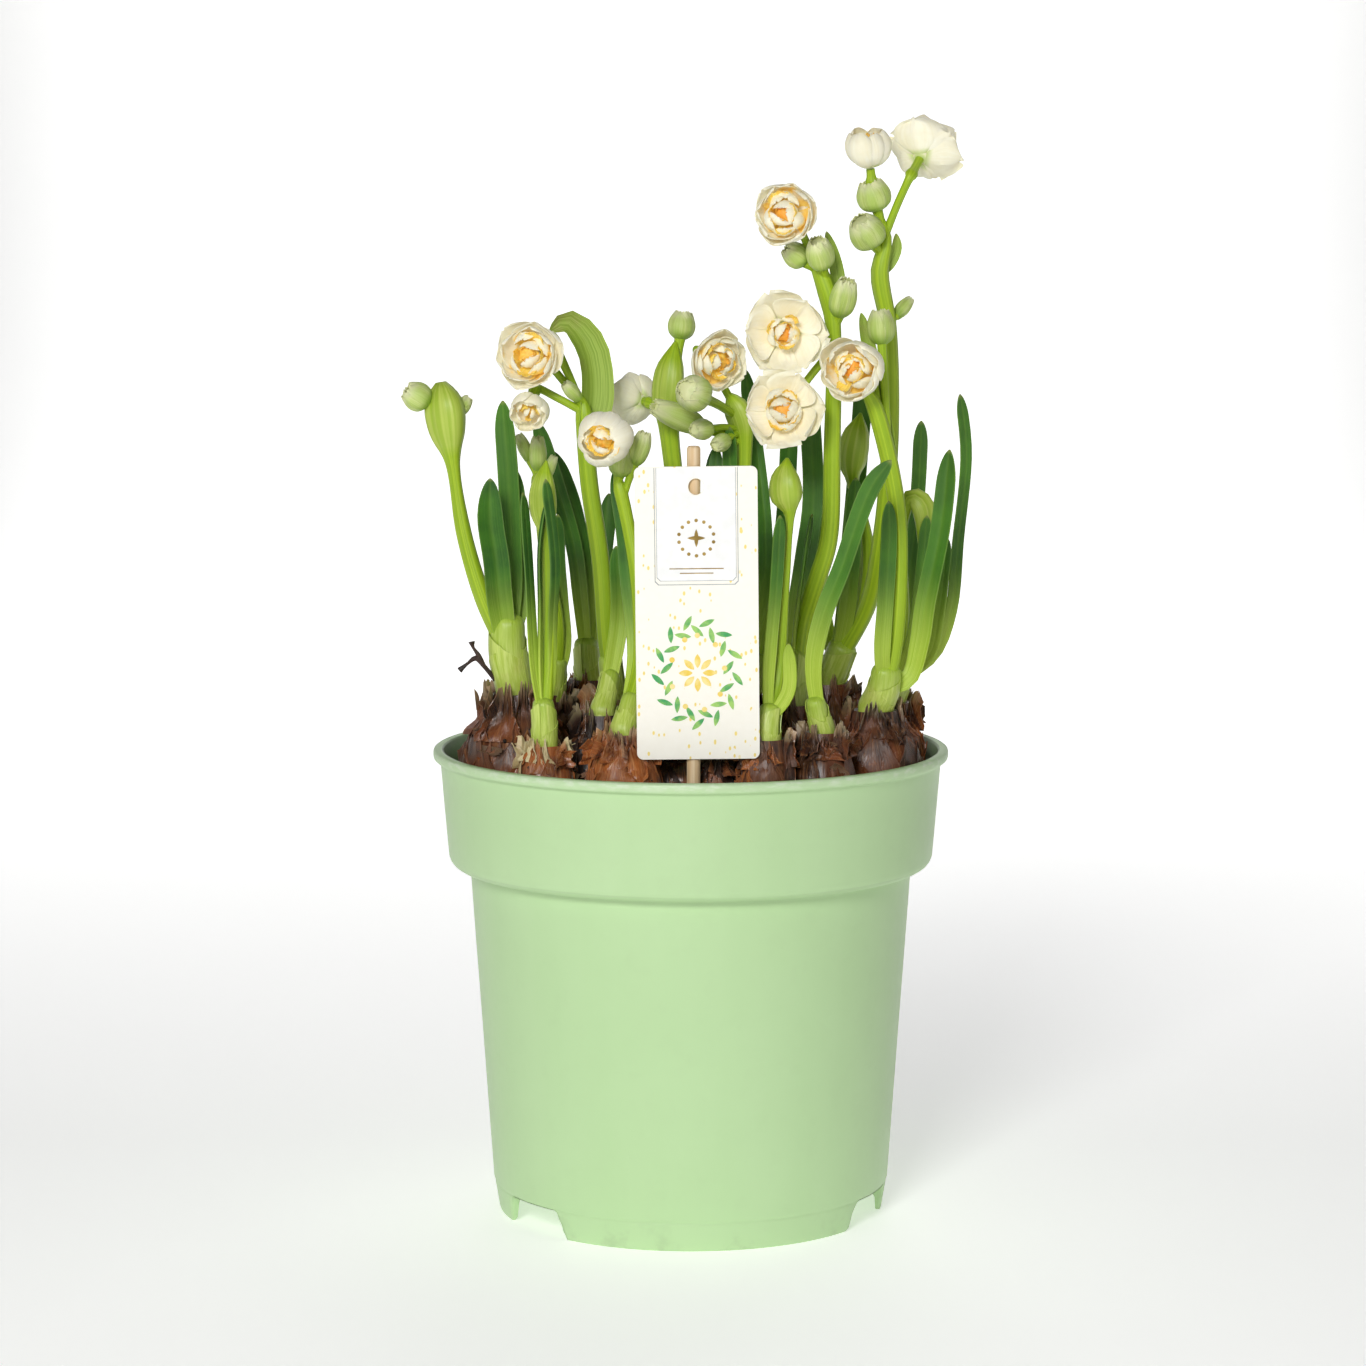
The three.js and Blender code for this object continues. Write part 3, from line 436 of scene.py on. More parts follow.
# The glow of the paper: more and more behind the plant, hardly any in front of it and at its sides,
# and a faint one far away.
glow = ranged(tree, parts[1], 0.1, 1.5, 0.42, 0.92)
front = ranged(tree, parts[1], -0.9, -0.4, 0.1, 1.0)
flank = ranged(tree, aside, 0.5, 1.1, 1.0, 0.06)
glow = times(tree, times(tree, glow, front), flank)
far = ranged(tree, away, 0.8, 2.4, 0.06, 0.3)
glow = maths(tree, "MAXIMUM", glow, far)
grain = noise(tree, place, 9)
painted(tree, surface, Base_Color=mixed(tree, grain, "F4F4F2", "F8F8F6"))
painted(tree, surface, Normal=bumped(tree, noise(tree, place, 900), 0.00002), Emission_Strength=glow)

COVE = {"floor": 2.3, "bend": 1.0, "top": 1.2, "sides": 96}


def cove_profile():
    """The side view of the paper: a flat floor that bends up into a low wall all round."""
    points = [(0.02, 0.0), (0.8, 0.0)]
    for turn in np.linspace(0, math.pi / 2, 21):
        points.append((COVE["floor"] + COVE["bend"] * math.sin(turn), COVE["bend"] * (1 - math.cos(turn))))
    return points + [(COVE["floor"] + COVE["bend"], COVE["top"])]


turns = full_turn(COVE["sides"])
profile = cove_profile()
places = [(r * math.cos(t), r * math.sin(t), z) for r, z in profile for t in turns]
count = COVE["sides"]
faces = [tuple(range(count))]
for row in range(len(profile) - 1):
    for k in range(count):
        after = (k + 1) % count
        low, high = row * count, (row + 1) * count
        faces.append((low + k, high + k, high + after, low + after))
floor_mesh = bpy.data.meshes.new("studio_floor")
floor_mesh.from_pydata(places, [], faces)
floor_mesh.materials.append(paper)
floor_mesh.shade_smooth()
linked("studio_floor", floor_mesh)

world = bpy.data.worlds.new("studio_surround")
world.use_nodes = True
world.node_tree.nodes["Background"].inputs["Color"].default_value = linear("FFFFFF")
world.node_tree.nodes["Background"].inputs["Strength"].default_value = 0.02
bpy.context.scene.world = world


def lamp(name, spot, watts, size):
    """A soft square lamp that looks at the middle of the plant."""
    light = bpy.data.lights.new(name, "AREA")
    light.energy = watts
    light.size = size
    thing = linked(name, light)
    thing.location = spot
    thing.rotation_euler = (Vector((0, 0, 0.2)) - Vector(spot)).to_track_quat("-Z", "Y").to_euler()


lamp("lamp_front_left", (-0.5, -2.1, 1.15), 33, 0.6)
lamp("lamp_behind", (0.3, 1.3, 1.5), 5, 1.0)
print("camera", tuple(round(v, 3) for v in camera.location), "and two lamps")

# %% [markdown]
# ## The pot
# The pot is a 19 cm grower's container of thin moulded polypropylene. It is turned from one outline,
# as its mould is, with a wide smooth band under the rim, a narrow lip, and a foot that three
# openings divide. Lathing the outline in code keeps the wall's real thickness inside and out; the
# foot's openings are pushed into the lowest rings, and the drain holes are bored with a Boolean.

# %% Pot: the outline and the turning
POT_SIDES = 288
POT_OUTLINE = [
    (0, 11.7), (40, 11.7), (69.2, 11.7), (69.7, 11.0), (69.6, 5.0), (69.5, 0.3), (69.8, 0), (70.9, 0),
    (71.3, 0.3), (71.5, 0.9), (72.2, 5.2), (73.0, 9.8), (73.0, 10.2), (72.8, 10.6), (73.1, 11.1),
    (73.5, 12.0), (75.5, 41.0), (77.5, 70.0), (79.6, 99.5), (81.5, 127.4), (81.8, 128.5), (82.5, 129.0),
    (84.5, 129.1), (86.6, 129.5), (88.0, 130.4), (88.9, 131.6), (89.4, 133.0), (90.2, 142.0),
    (91.3, 155.0), (92.3, 167.2), (92.6, 168.0), (93.2, 168.5), (94.2, 168.8), (94.8, 169.3),
    (95.0, 170.0), (95.0, 171.4), (94.8, 172.1), (94.2, 172.5), (92.4, 172.5), (91.5, 172.3),
    (91.1, 171.6), (90.4, 160.0), (89.3, 146.0), (88.3, 132.8), (87.6, 131.6), (86.4, 131.2),
    (81.0, 131.0), (80.2, 130.2), (78.0, 100.0), (75.8, 67.0), (73.2, 30.0), (72.2, 15.0), (71.7, 13.6),
    (70.6, 13.0), (40, 13.0), (0, 13.0),
]
FOOT_GAPS = {"middles": (67, 187, 307), "half": 16.5, "slope": 3.4, "top": 10.6}
DRAIN = {"ring": 46, "radius": 4.0}


def foot_lift(angle):
    """How far the foot's edge is lifted at an angle from the front, inside one of its openings."""
    lift = np.zeros_like(angle)
    for middle in FOOT_GAPS["middles"]:
        off = (np.degrees(angle) - middle + 180) % 360 - 180
        away = np.abs(np.sin(np.radians(off))) * 71.5 + (np.abs(off) > 90) * 99
        rise = (FOOT_GAPS["half"] - away) / FOOT_GAPS["slope"]
        lift = np.maximum(lift, FOOT_GAPS["top"] * np.clip(rise, 0, 1) ** 0.6)
    return lift


def pot_grid():
    """The outline turned about the axis, as rings from the underside round to the floor inside."""
    outline = np.array(POT_OUTLINE, float)[1:-1]
    around = full_turn(POT_SIDES)
    lift = foot_lift(around)
    radius = np.repeat(outline[:, :1], POT_SIDES, 1)
    height = np.repeat(outline[:, 1:], POT_SIDES, 1)
    low = height < FOOT_GAPS["top"] + 0.05
    height = np.where(low, np.maximum(height, lift[None]), height)
    wavy = 0.12 * np.sin(3 * around + 0.4) + 0.07 * np.sin(5 * around)
    radius = radius + wavy * np.clip((height - 20) / 150, 0, 1) * np.where(radius > 94, 0.0, 1.0)
    return np.stack([radius * np.sin(around), -radius * np.cos(around), height], 2)


print(len(POT_OUTLINE), "outline points,", POT_SIDES, "sides")

# %% [markdown]
# ## The plastic
# Moulded polypropylene has a satin skin: it is a little uneven, as the melt cooled, and its edges
# whiten where pots have rubbed in a stack. A fine bump breaks the highlight, slow noise shifts the
# green by a shade, and height and radius pick out the worn lip, the dusty foot and the inner wall,
# which is painted a darker green as painted shade. Both are given in metres here, as the shader sees them.

# %% Pot: the moulded plastic
LIP = {"low": 0.168, "high": 0.1724, "inner": 0.0938, "outer": 0.0949}
WALL = {"foot": 0.07847, "slope": 0.078}

plastic, tree, surface, place = material("green_polypropylene_moulded_satin", roughness=0.4)
cloud = noise(tree, place, 14, 4)
streak = noise(tree, stretched(tree, place, (60, 60, 4)), 1.0, 2)
green = mixed(tree, cloud, "B3D29C", "BFDCAA")
green = mixed(tree, times(tree, streak, 0.35), green, "A9CE92")
apart = add(tree, "ShaderNodeSeparateXYZ", {0: place})
sunk = stepped(tree, apart.outputs[2], LIP["low"], LIP["high"])
round_place = add(tree, "ShaderNodeVectorMath", {0: place, 1: (1, 1, 0)}, operation="MULTIPLY").outputs[0]
distance = add(tree, "ShaderNodeVectorMath", {0: round_place}, operation="LENGTH").outputs[1]
lip = times(tree, stepped(tree, distance, LIP["inner"], LIP["outer"]), sunk)
scuffs = stepped(tree, noise(tree, stretched(tree, place, (1, 1, 3)), 210, 5), 0.44, 0.66)
worn = times(tree, lip, plus(tree, times(tree, scuffs, 0.5), 0.2))
green = mixed(tree, worn, green, "DCE6D2")
# Painted shade: the inner wall from 13 cm up to the rim is mixed most of the way to a darker green, the
# shade inside the pot.
wall_middle = maths(tree, "MULTIPLY_ADD", apart.outputs[2], WALL["slope"])
wall_middle.node.inputs[2].default_value = WALL["foot"]
inside = stepped(tree, minus(tree, wall_middle, distance), -0.0001, 0.0003)
inside = times(tree, inside, stepped(tree, apart.outputs[2], 0.13, 0.134))
green = mixed(tree, times(tree, inside, 0.75), green, "5E7F4C")
dust = stepped(tree, noise(tree, place, 120, 5), 0.5, 0.72)
foot = stepped(tree, apart.outputs[2], 0.012, 0.0)
dirt = times(tree, dust, plus(tree, times(tree, foot, 0.25), 0.03))
green = mixed(tree, dirt, green, "8C9A78")
skin = bumped(tree, noise(tree, place, 1400, 2), 0.000018)
skin = bumped(tree, noise(tree, stretched(tree, place, (1, 1, 0.25)), 130, 3), 0.00006, skin)
gloss = plus(tree, times(tree, noise(tree, place, 320, 3), 0.16), 0.33)
painted(tree, surface, Base_Color=green, Normal=skin, Roughness=gloss)

# %% Pot: the piece
pot = Piece("pot_shell")
spots = pot_grid()
pot.grid(spots, plastic, v=np.linspace(0, 1, len(spots)))
pot_thing = pot.make("pot_plastic", "pot")


def bored(thing, spots, radius, low, high, sides=28):
    """Bores round holes through a piece with one Boolean cut, applied at once."""
    cutter = Piece("cutter")
    around = full_turn(sides)
    for x, y in spots:
        ring = np.stack([x + radius * np.cos(around), y + radius * np.sin(around)], 1)
        cutter.grid(np.stack([np.column_stack([ring, np.full(sides, z)]) for z in (low, high)]), plastic)
    mesh = bpy.data.meshes.new("cutter")
    points = np.concatenate(cutter.points) * MM
    faces = [face for group in cutter.corners for face in group.tolist()]
    mesh.from_pydata(points.tolist(), [], faces)
    tool = linked("cutter", mesh)
    cut = thing.modifiers.new("cut", "BOOLEAN")
    cut.operation = "DIFFERENCE"
    cut.solver = "EXACT"
    cut.object = tool
    done = evaluated_mesh(thing)
    thing.modifiers.clear()
    thing.data = done
    bpy.data.objects.remove(tool)


turns = [math.radians(45 + 90 * k) for k in range(4)]
drains = [(DRAIN["ring"] * math.cos(t), DRAIN["ring"] * math.sin(t)) for t in turns]
bored(pot_thing, drains, DRAIN["radius"], 5, 20)
print("pot:", triangles(pot_thing), "triangles, four drain holes")

# %% [markdown]
# ## The compost
# Dark peat fills the pot to just under its rim, with crumbs, bits of bark and pale root fibres on
# top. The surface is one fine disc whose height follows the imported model's gentle swell, plus small
# lumps, and its hidden body goes down to the pot's floor. Loose crumbs repeat by the thousand, so
# Geometry Nodes will scatter them.

# %% Compost: the material
def soil_material(name, dark, light, scale):
    """Crumbly peat: dark lumps with paler fibres, rough and full of small pits."""
    made, tree, surface, place = material(name, roughness=0.9)
    lumps = noise(tree, place, 260 * scale, 6, 0.65)
    cells = add(tree, "ShaderNodeTexVoronoi", {"Vector": place, "Scale": 420 * scale})
    colour = mixed(tree, stepped(tree, lumps, 0.35, 0.72), dark, light)
    fibre = noise(tree, stretched(tree, place, (1, 7, 1)), 170 * scale, 4)
    colour = mixed(tree, stepped(tree, fibre, 0.66, 0.74), colour, "6E543A")
    relief = plus(tree, lumps, times(tree, cells.outputs["Distance"], 0.5))
    damp = minus(tree, 0.98, times(tree, lumps, 0.3))
    painted(tree, surface, Base_Color=colour, Normal=bumped(tree, relief, 0.0009), Roughness=damp)
    return made


peat = soil_material("peat_compost_crumbled", "17100B", "3A281B", 1.0)
crumb_peat = soil_material("peat_crumb_dry", "1E150E", "4A3524", 1.6)

# %% Compost: the body
SOIL = {"top": 163.0, "swell": 1.3, "outer": 89.7, "sides": 220}


def soil_top(x, y):
    """The height of the compost at a spot."""
    rough = np.sin(x * 0.21 + 1.3) * np.cos(y * 0.17) + 0.6 * np.sin((x + y) * 0.43)
    return SOIL["top"] + SOIL["swell"] * rough


soil = Piece("compost_body")
around = full_turn(SOIL["sides"])
side_outline = [(1, 13.4), (70.0, 13.4), (71.6, 14.6), (79.9, 131.4), (86.0, 131.8), (87.8, 133.2)]
reaches = np.concatenate([np.linspace(SOIL["outer"], 84, 6), np.linspace(82, 1.0, 60)])
rings = []
for r, z in side_outline:
    rings.append(np.column_stack([r * np.sin(around), -r * np.cos(around), np.full(SOIL["sides"], z)]))
for r in reaches:
    x, y = r * np.sin(around), -r * np.cos(around)
    flat = np.column_stack([x, y])
    lumps = 0.75 * ripple(flat, 6.5, 3) + 0.5 * ripple(flat, 3.4, 4) + 0.3 * ripple(flat, 2.0, 5)
    rings.append(np.column_stack([x, y, soil_top(x, y) + lumps * (0.6 if r > 88 else 1.0)]))
soil.grid(np.array(rings), peat)
soil_thing = soil.make("compost", "soil")
print("compost:", triangles(soil_thing), "triangles")

# %% [markdown]
# ## Crumbs, bark and fibres
# One Geometry Nodes tree serves everything that lies scattered: it strews points over a surface
# at a density, drops them too close together, sets one of a few small shapes on each with its
# own turn and size, and ends with real faces in one material, because the export has no instances.

# %% The scattering tree
def scatter_tree(name, shapes, finish):
    """Builds the tree, and returns it with the identifiers of its named inputs."""
    tree = bpy.data.node_groups.new(name, "GeometryNodeTree")
    face = tree.interface
    face.new_socket("Surface", in_out="INPUT", socket_type="NodeSocketGeometry")
    named = {}
    for label in ("Spacing", "Density", "Smallest", "Largest", "Sink", "Seed", "Tilt"):
        kind = "NodeSocketInt" if label == "Seed" else "NodeSocketFloat"
        named[label] = face.new_socket(label, in_out="INPUT", socket_type=kind).identifier
    face.new_socket("Result", in_out="OUTPUT", socket_type="NodeSocketGeometry")
    given = tree.nodes.new("NodeGroupInput").outputs
    up = add(tree, "GeometryNodeInputNormal").outputs[0]
    height = add(tree, "ShaderNodeSeparateXYZ", {0: up}).outputs[2]
    facing_up = add(tree, "FunctionNodeCompare", {0: height, 1: 0.2}, operation="GREATER_THAN").outputs[0]
    strewn = add(tree, "GeometryNodeDistributePointsOnFaces", {
        "Mesh": given["Surface"], "Selection": facing_up, "Distance Min": given["Spacing"],
        "Density Max": given["Density"], "Seed": given["Seed"],
    }, distribute_method="POISSON")
    many = add(tree, "GeometryNodeJoinGeometry")
    for shape in shapes:
        one = add(tree, "GeometryNodeObjectInfo", {"Object": shape, "As Instance": True})
        tree.links.new(one.outputs["Geometry"], many.inputs[0])
    size = add(tree, "FunctionNodeRandomValue", {
        2: given["Smallest"], 3: given["Largest"], "Seed": given["Seed"],
    }, data_type="FLOAT").outputs[1]
    lean = times(tree, given["Tilt"], -1.0)
    low = add(tree, "ShaderNodeCombineXYZ", {0: lean, 1: lean, 2: 0.0}).outputs[0]
    high = add(tree, "ShaderNodeCombineXYZ", {0: given["Tilt"], 1: given["Tilt"], 2: 6.28}).outputs[0]
    turn = add(tree, "FunctionNodeRandomValue", {
        0: low, 1: high, "Seed": given["Seed"],
    }, data_type="FLOAT_VECTOR")
    put = add(tree, "GeometryNodeInstanceOnPoints", {
        "Points": strewn.outputs["Points"], "Instance": many.outputs[0], "Pick Instance": True,
        "Rotation": strewn.outputs["Rotation"], "Scale": size,
    })
    turned = add(tree, "GeometryNodeRotateInstances", {
        "Instances": put.outputs[0], "Rotation": turn.outputs[0], "Local Space": True,
    })
    drop = add(tree, "ShaderNodeCombineXYZ", {2: times(tree, given["Sink"], -1.0)}).outputs[0]
    sunk = add(tree, "GeometryNodeTranslateInstances", {"Instances": turned.outputs[0], "Translation": drop})
    real = add(tree, "GeometryNodeRealizeInstances", {0: sunk.outputs[0]}).outputs[0]
    dressed = add(tree, "GeometryNodeSetMaterial", {"Geometry": real, "Material": finish}).outputs[0]
    result = tree.nodes.new("NodeGroupOutput")
    tree.links.new(dressed, result.inputs[0])
    return tree, named


def strewn_piece(name, carrier, tree, named, slot, **inputs):
    """Strews the tree's shapes over a copy of the carrier's mesh, and makes the result a plain mesh."""
    thing = linked(name, carrier)
    step = thing.modifiers.new("strew", "NODES")
    step.node_group = tree
    for given, value in inputs.items():
        step[named[given]] = value
    done = evaluated_mesh(thing)
    bpy.data.objects.remove(thing)
    done.shade_smooth()
    return placed(name, done, slot)


def hidden_shape(name, points, faces, finish):
    """A small shape that is only there to be copied."""
    mesh = bpy.data.meshes.new(name)
    mesh.from_pydata((np.asarray(points) * MM).tolist(), [], faces)
    mesh.materials.append(finish)
    return bpy.data.objects.new(name, mesh)


def crumb(seed, stretch):
    """A lump of about twenty faces, knocked out of round."""
    golden = (1 + 5**0.5) / 2
    points = [(x, y, 0) for y in (golden, -golden) for x in (-1, 1)]
    points += [(0, y, z) for z in (golden, -golden) for y in (-1, 1)]
    points += [(x, 0, z) for x in (golden, -golden) for z in (-1, 1)]
    faces = [
        (0, 11, 5), (0, 5, 1), (0, 1, 7), (0, 7, 10), (0, 10, 11), (1, 5, 9), (5, 11, 4), (11, 10, 2),
        (10, 7, 6), (7, 1, 8), (3, 9, 4), (3, 4, 2), (3, 2, 6), (3, 6, 8), (3, 8, 9), (4, 9, 5),
        (2, 4, 11), (6, 2, 10), (8, 6, 7), (9, 8, 1),
    ]
    points = np.array(points) / 1.9
    points = points * (1 + 0.3 * ripple(points, 2.2, seed))[:, None] * np.array(stretch)
    return hidden_shape(f"crumb_shape_{seed}", points, faces, crumb_peat)


def fibre(seed, length, width):
    """A bent thread with four sides, like a bit of root or straw."""
    draw = np.random.default_rng(seed)
    steps = np.linspace(-0.5, 0.5, 6)
    bend = 0.16 * length * np.sin(steps * 4 + draw.uniform(0, 6))
    middle = np.column_stack([steps * length, bend, 0.1 * length * np.cos(steps * 5)])
    square = [np.array([0, width * math.cos(turn), width * math.sin(turn)]) for turn in full_turn(4)]
    points = [spot + corner for spot in middle for corner in square]
    faces = []
    for low in range(0, 20, 4):
        faces += [(low + k, low + (k + 1) % 4, low + 4 + (k + 1) % 4, low + 4 + k) for k in range(4)]
    faces += [(3, 2, 1, 0), (20, 21, 22, 23)]
    return points, faces


# %% Compost: crumbs and fibres
def soil_disc(reach):
    """The top of the compost alone, out to a reach, to strew things on."""
    disc = Piece("disc")
    rows = []
    for r in np.linspace(reach, 1.0, 40):
        x, y = r * np.sin(around), -r * np.cos(around)
        rows.append(np.column_stack([x, y, soil_top(x, y)]))
    disc.grid(np.array(rows), peat, caps="end")
    return disc.mesh()


crumbs = [crumb(11, (1, 1, 0.8)), crumb(12, (1.5, 0.8, 0.6)), crumb(13, (0.9, 1.2, 0.9))]
tree, named = scatter_tree("strewn_crumbs", crumbs, crumb_peat)
crumbs_thing = strewn_piece(
    "compost_crumbs", soil_disc(86), tree, named, "compost",
    Spacing=0.0011, Density=190000.0, Smallest=0.35, Largest=1.25, Sink=0.0001, Seed=4, Tilt=0.8,
)
print("crumbs:", triangles(crumbs_thing), "triangles")

straw, tree, surface, place = material("dry_root_fibre_pale", roughness=0.8)
shade = noise(tree, place, 240, 4)
painted(tree, surface, Base_Color=mixed(tree, shade, "6B5238", "B39A74"))
painted(tree, surface, Normal=bumped(tree, noise(tree, place, 1500, 2), 0.00006))
FIBRE_LENGTHS = {1: 9, 2: 14, 3: 6}
FIBRE_RADIUS = 0.16
fibres = [
    hidden_shape(f"fibre_shape_{k}", *fibre(k, length, FIBRE_RADIUS), straw)
    for k, length in FIBRE_LENGTHS.items()
]
tree, named = scatter_tree("strewn_fibres", fibres, straw)
fibres_thing = strewn_piece(
    "compost_fibres", soil_disc(78), tree, named, "compost",
    Spacing=0.004, Density=9000.0, Smallest=0.6, Largest=1.2, Sink=-0.0005, Seed=8, Tilt=0.25,
)
print("fibres:", triangles(fibres_thing), "triangles")

# %% [markdown]
# ## The bulbs
# A narcissus bulb wears dry tunics: thin brown papery skins, each torn at the neck and split down
# the sides, over the next one. The inner skins shine like onion skin, the outer ones are dull and
# fibrous. Each bulb is a body of rings with uneven ribs. Six or eight loose skins are laid over it
# as thin shells with ragged edges, narrow ones make a torn collar round its neck, and curled flakes
# are strewn on top. Loose skins that would poke through the card stay behind it.

# %% Bulbs: where they stand
BULB_KEYS = ("name", "x", "y", "r", "neck", "stalk", "twin")
BULB_ROWS = [
    ("left", -64, -20, 19, 195, 6.2),
    ("front_left", -52, -57, 9.5, 181, 4.1),
    ("front_onion", -24, -63, 13, 186, 4.6),
    ("dark_left", -32, -34, 14, 189, 4.2),
    ("mid_left", -28, -3, 14.5, 191, 4.6),
    ("left_rear", -52, 13, 14, 188, 4.6),
    ("back_left", -39, 46, 17, 192, 5),
    ("behind_label", -4, -43, 14, 181, 0, ("small_twin", 9, -56.5, 7, 176, 0)),
    ("centre", -2, 20, 14, 190, 5, ("rear_middle", 22, 18, 12.5, 189, 4)),
    ("centre_right", 10, -16, 12, 188, 5),
    ("front_right", 27, -62, 9.5, 184, 4.6),
    ("front_far_right", 47, -52, 11.5, 185, 4),
    ("tall_right", 38, -14, 12.5, 190, 4.4),
    ("right", 67, -22, 16.5, 189, 6),
    ("right_rear", 74, 9, 12, 188, 5.4),
    ("back_right", 52, 34, 17, 192, 6),
    ("back", 5, 56, 16, 191, 5),
]


def bulb_plan(row):
    """A row of the table with its keys: place, radius, neck height, stalk radius, perhaps a twin."""
    plan = dict(zip(BULB_KEYS, row))
    if "twin" in plan:
        plan["twin"] = bulb_plan(plan["twin"])
    return plan


BULBS = [bulb_plan(row) for row in BULB_ROWS]
CLEARANCE = 0.35
COLLAR_SKINS = 11
SKIN_THICK = 0.22
GOLDEN_TURN = 2.4
CARD_ZONE = {"left": -22.0, "right": 27.0, "foot": 174.0, "back": -69.6}
print(len(BULBS), "bulbs and clumps")

# %% [markdown]
# ## The tunics
# The skin's veins run from the base plate to the neck, so the pattern follows the piece's own map:
# many lumps round the bulb and few along it. Slow noise gives the patches of chestnut, orange and
# near black, and the gloss comes and goes with it as the dry skin lifts.

# %% Bulbs: the papery skins
def tunic_material(name, dark, middle, light, gloss):
    """Dry bulb skin with fine veins along it and patches of colour."""
    made, tree, surface, place = material(name, roughness=0.5, Sheen_Weight=0.08)
    spot, tone, *_ = surface_map(tree)
    veins = veined(tree, spot, 70, 2.6, 5, 0.6)
    fine = veined(tree, spot, 190, 7, 3, 0.6)
    patch = noise(tree, place, 75, 4)
    colour = mixed(tree, stepped(tree, patch, 0.34, 0.64), dark, middle)
    lighter = times(tree, stepped(tree, veins, 0.44, 0.76), 0.5)
    colour = mixed(tree, lighter, colour, light)
    colour = mixed(tree, times(tree, stepped(tree, fine, 0.54, 0.36), 0.3), colour, dark)
    colour = mixed(tree, tone, colour, "D9C79A")
    relief = bumped(tree, veins, 0.00014)
    relief = bumped(tree, fine, 0.00006, relief)
    shine = plus(tree, times(tree, patch, 0.3), gloss)
    painted(tree, surface, Base_Color=colour, Normal=relief, Roughness=shine)
    return made


TUNICS = {
    "chestnut": tunic_material("bulb_tunic_chestnut_glossy", "2C160C", "7E4628", "C48C58", 0.1),
    "russet": tunic_material("bulb_tunic_russet_fibrous", "28160E", "6C3E26", "AE7E54", 0.2),
    "onion": tunic_material("bulb_tunic_orange_onion_skin", "5C2C12", "B06430", "E2AC70", 0.08),
    "dark": tunic_material("bulb_tunic_old_dark", "160B06", "3A2014", "7A5036", 0.26),
    "cream": tunic_material("bulb_scale_bare_cream", "B59A6A", "D8CB9C", "E9E0BC", 0.3),
}
SKINS = {
    "left": ("chestnut", "russet"), "front_left": ("onion", "cream"), "front_onion": ("onion", "onion"),
    "dark_left": ("dark", "chestnut"), "mid_left": ("cream", "onion"), "left_rear": ("dark", "russet"),
    "behind_label": ("chestnut", "dark"), "centre_right": ("dark", "chestnut"),
    "front_right": ("russet", "onion"), "front_far_right": ("russet", "chestnut"),
    "tall_right": ("chestnut", "russet"), "right": ("russet", "chestnut"),
    "right_rear": ("chestnut", "onion"), "back_right": ("chestnut", "russet"),
    "back": ("onion", "chestnut"), "back_left": ("russet", "onion"), "centre": ("dark", "chestnut"),
}
print(len(TUNICS), "kinds of skin")


# %% Bulbs: body, loose skins and torn collar
def bulb_outline(r, neck, stalk):
    """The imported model's outline as a smooth one: radius and height from the base to the neck."""
    belly = SOIL["top"] + 2 + (neck - SOIL["top"]) * 0.06
    base = belly - max(11, 0.95 * r)
    throat = max((stalk + CLEARANCE) / math.cos(math.pi / 8) + 1.2 if stalk else 0, 0.26 * r)
    rise = neck - belly
    knots = [
        [0.55 * r, 0, base], [0.86 * r, 0, base + 0.45 * (belly - base)], [r, 0, belly],
        [throat + 0.72 * (r - throat), 0, belly + 0.42 * rise],
        [throat + 0.2 * (r - throat), 0, belly + 0.75 * rise], [throat, 0, neck],
    ]
    return knots


def bulb_spot(turn, level):
    """A place on the skin for its dents, the same for the body and for what lies on it."""
    return np.stack([np.cos(turn) * 10, np.sin(turn) * 10, level * 0.35], 2)


def bulb_rings(x, y, knots, shares, seed, columns=60):
    """Rings of a bulb's body, pushed into soft ribs and dents."""
    path = smooth_path(knots, shares)
    around = full_turn(columns)
    turn = np.broadcast_to(around, (len(path), columns))
    level = np.broadcast_to(path[:, 2:3], (len(path), columns))
    place = bulb_spot(turn, level)
    lobes = 1 + 0.04 * ripple(place, 9, seed) + 0.008 * ripple(place, 3.2, seed + 1)
    reach = path[:, :1] * lobes
    return np.stack([x + reach * np.sin(turn), y - reach * np.cos(turn), level], 2)


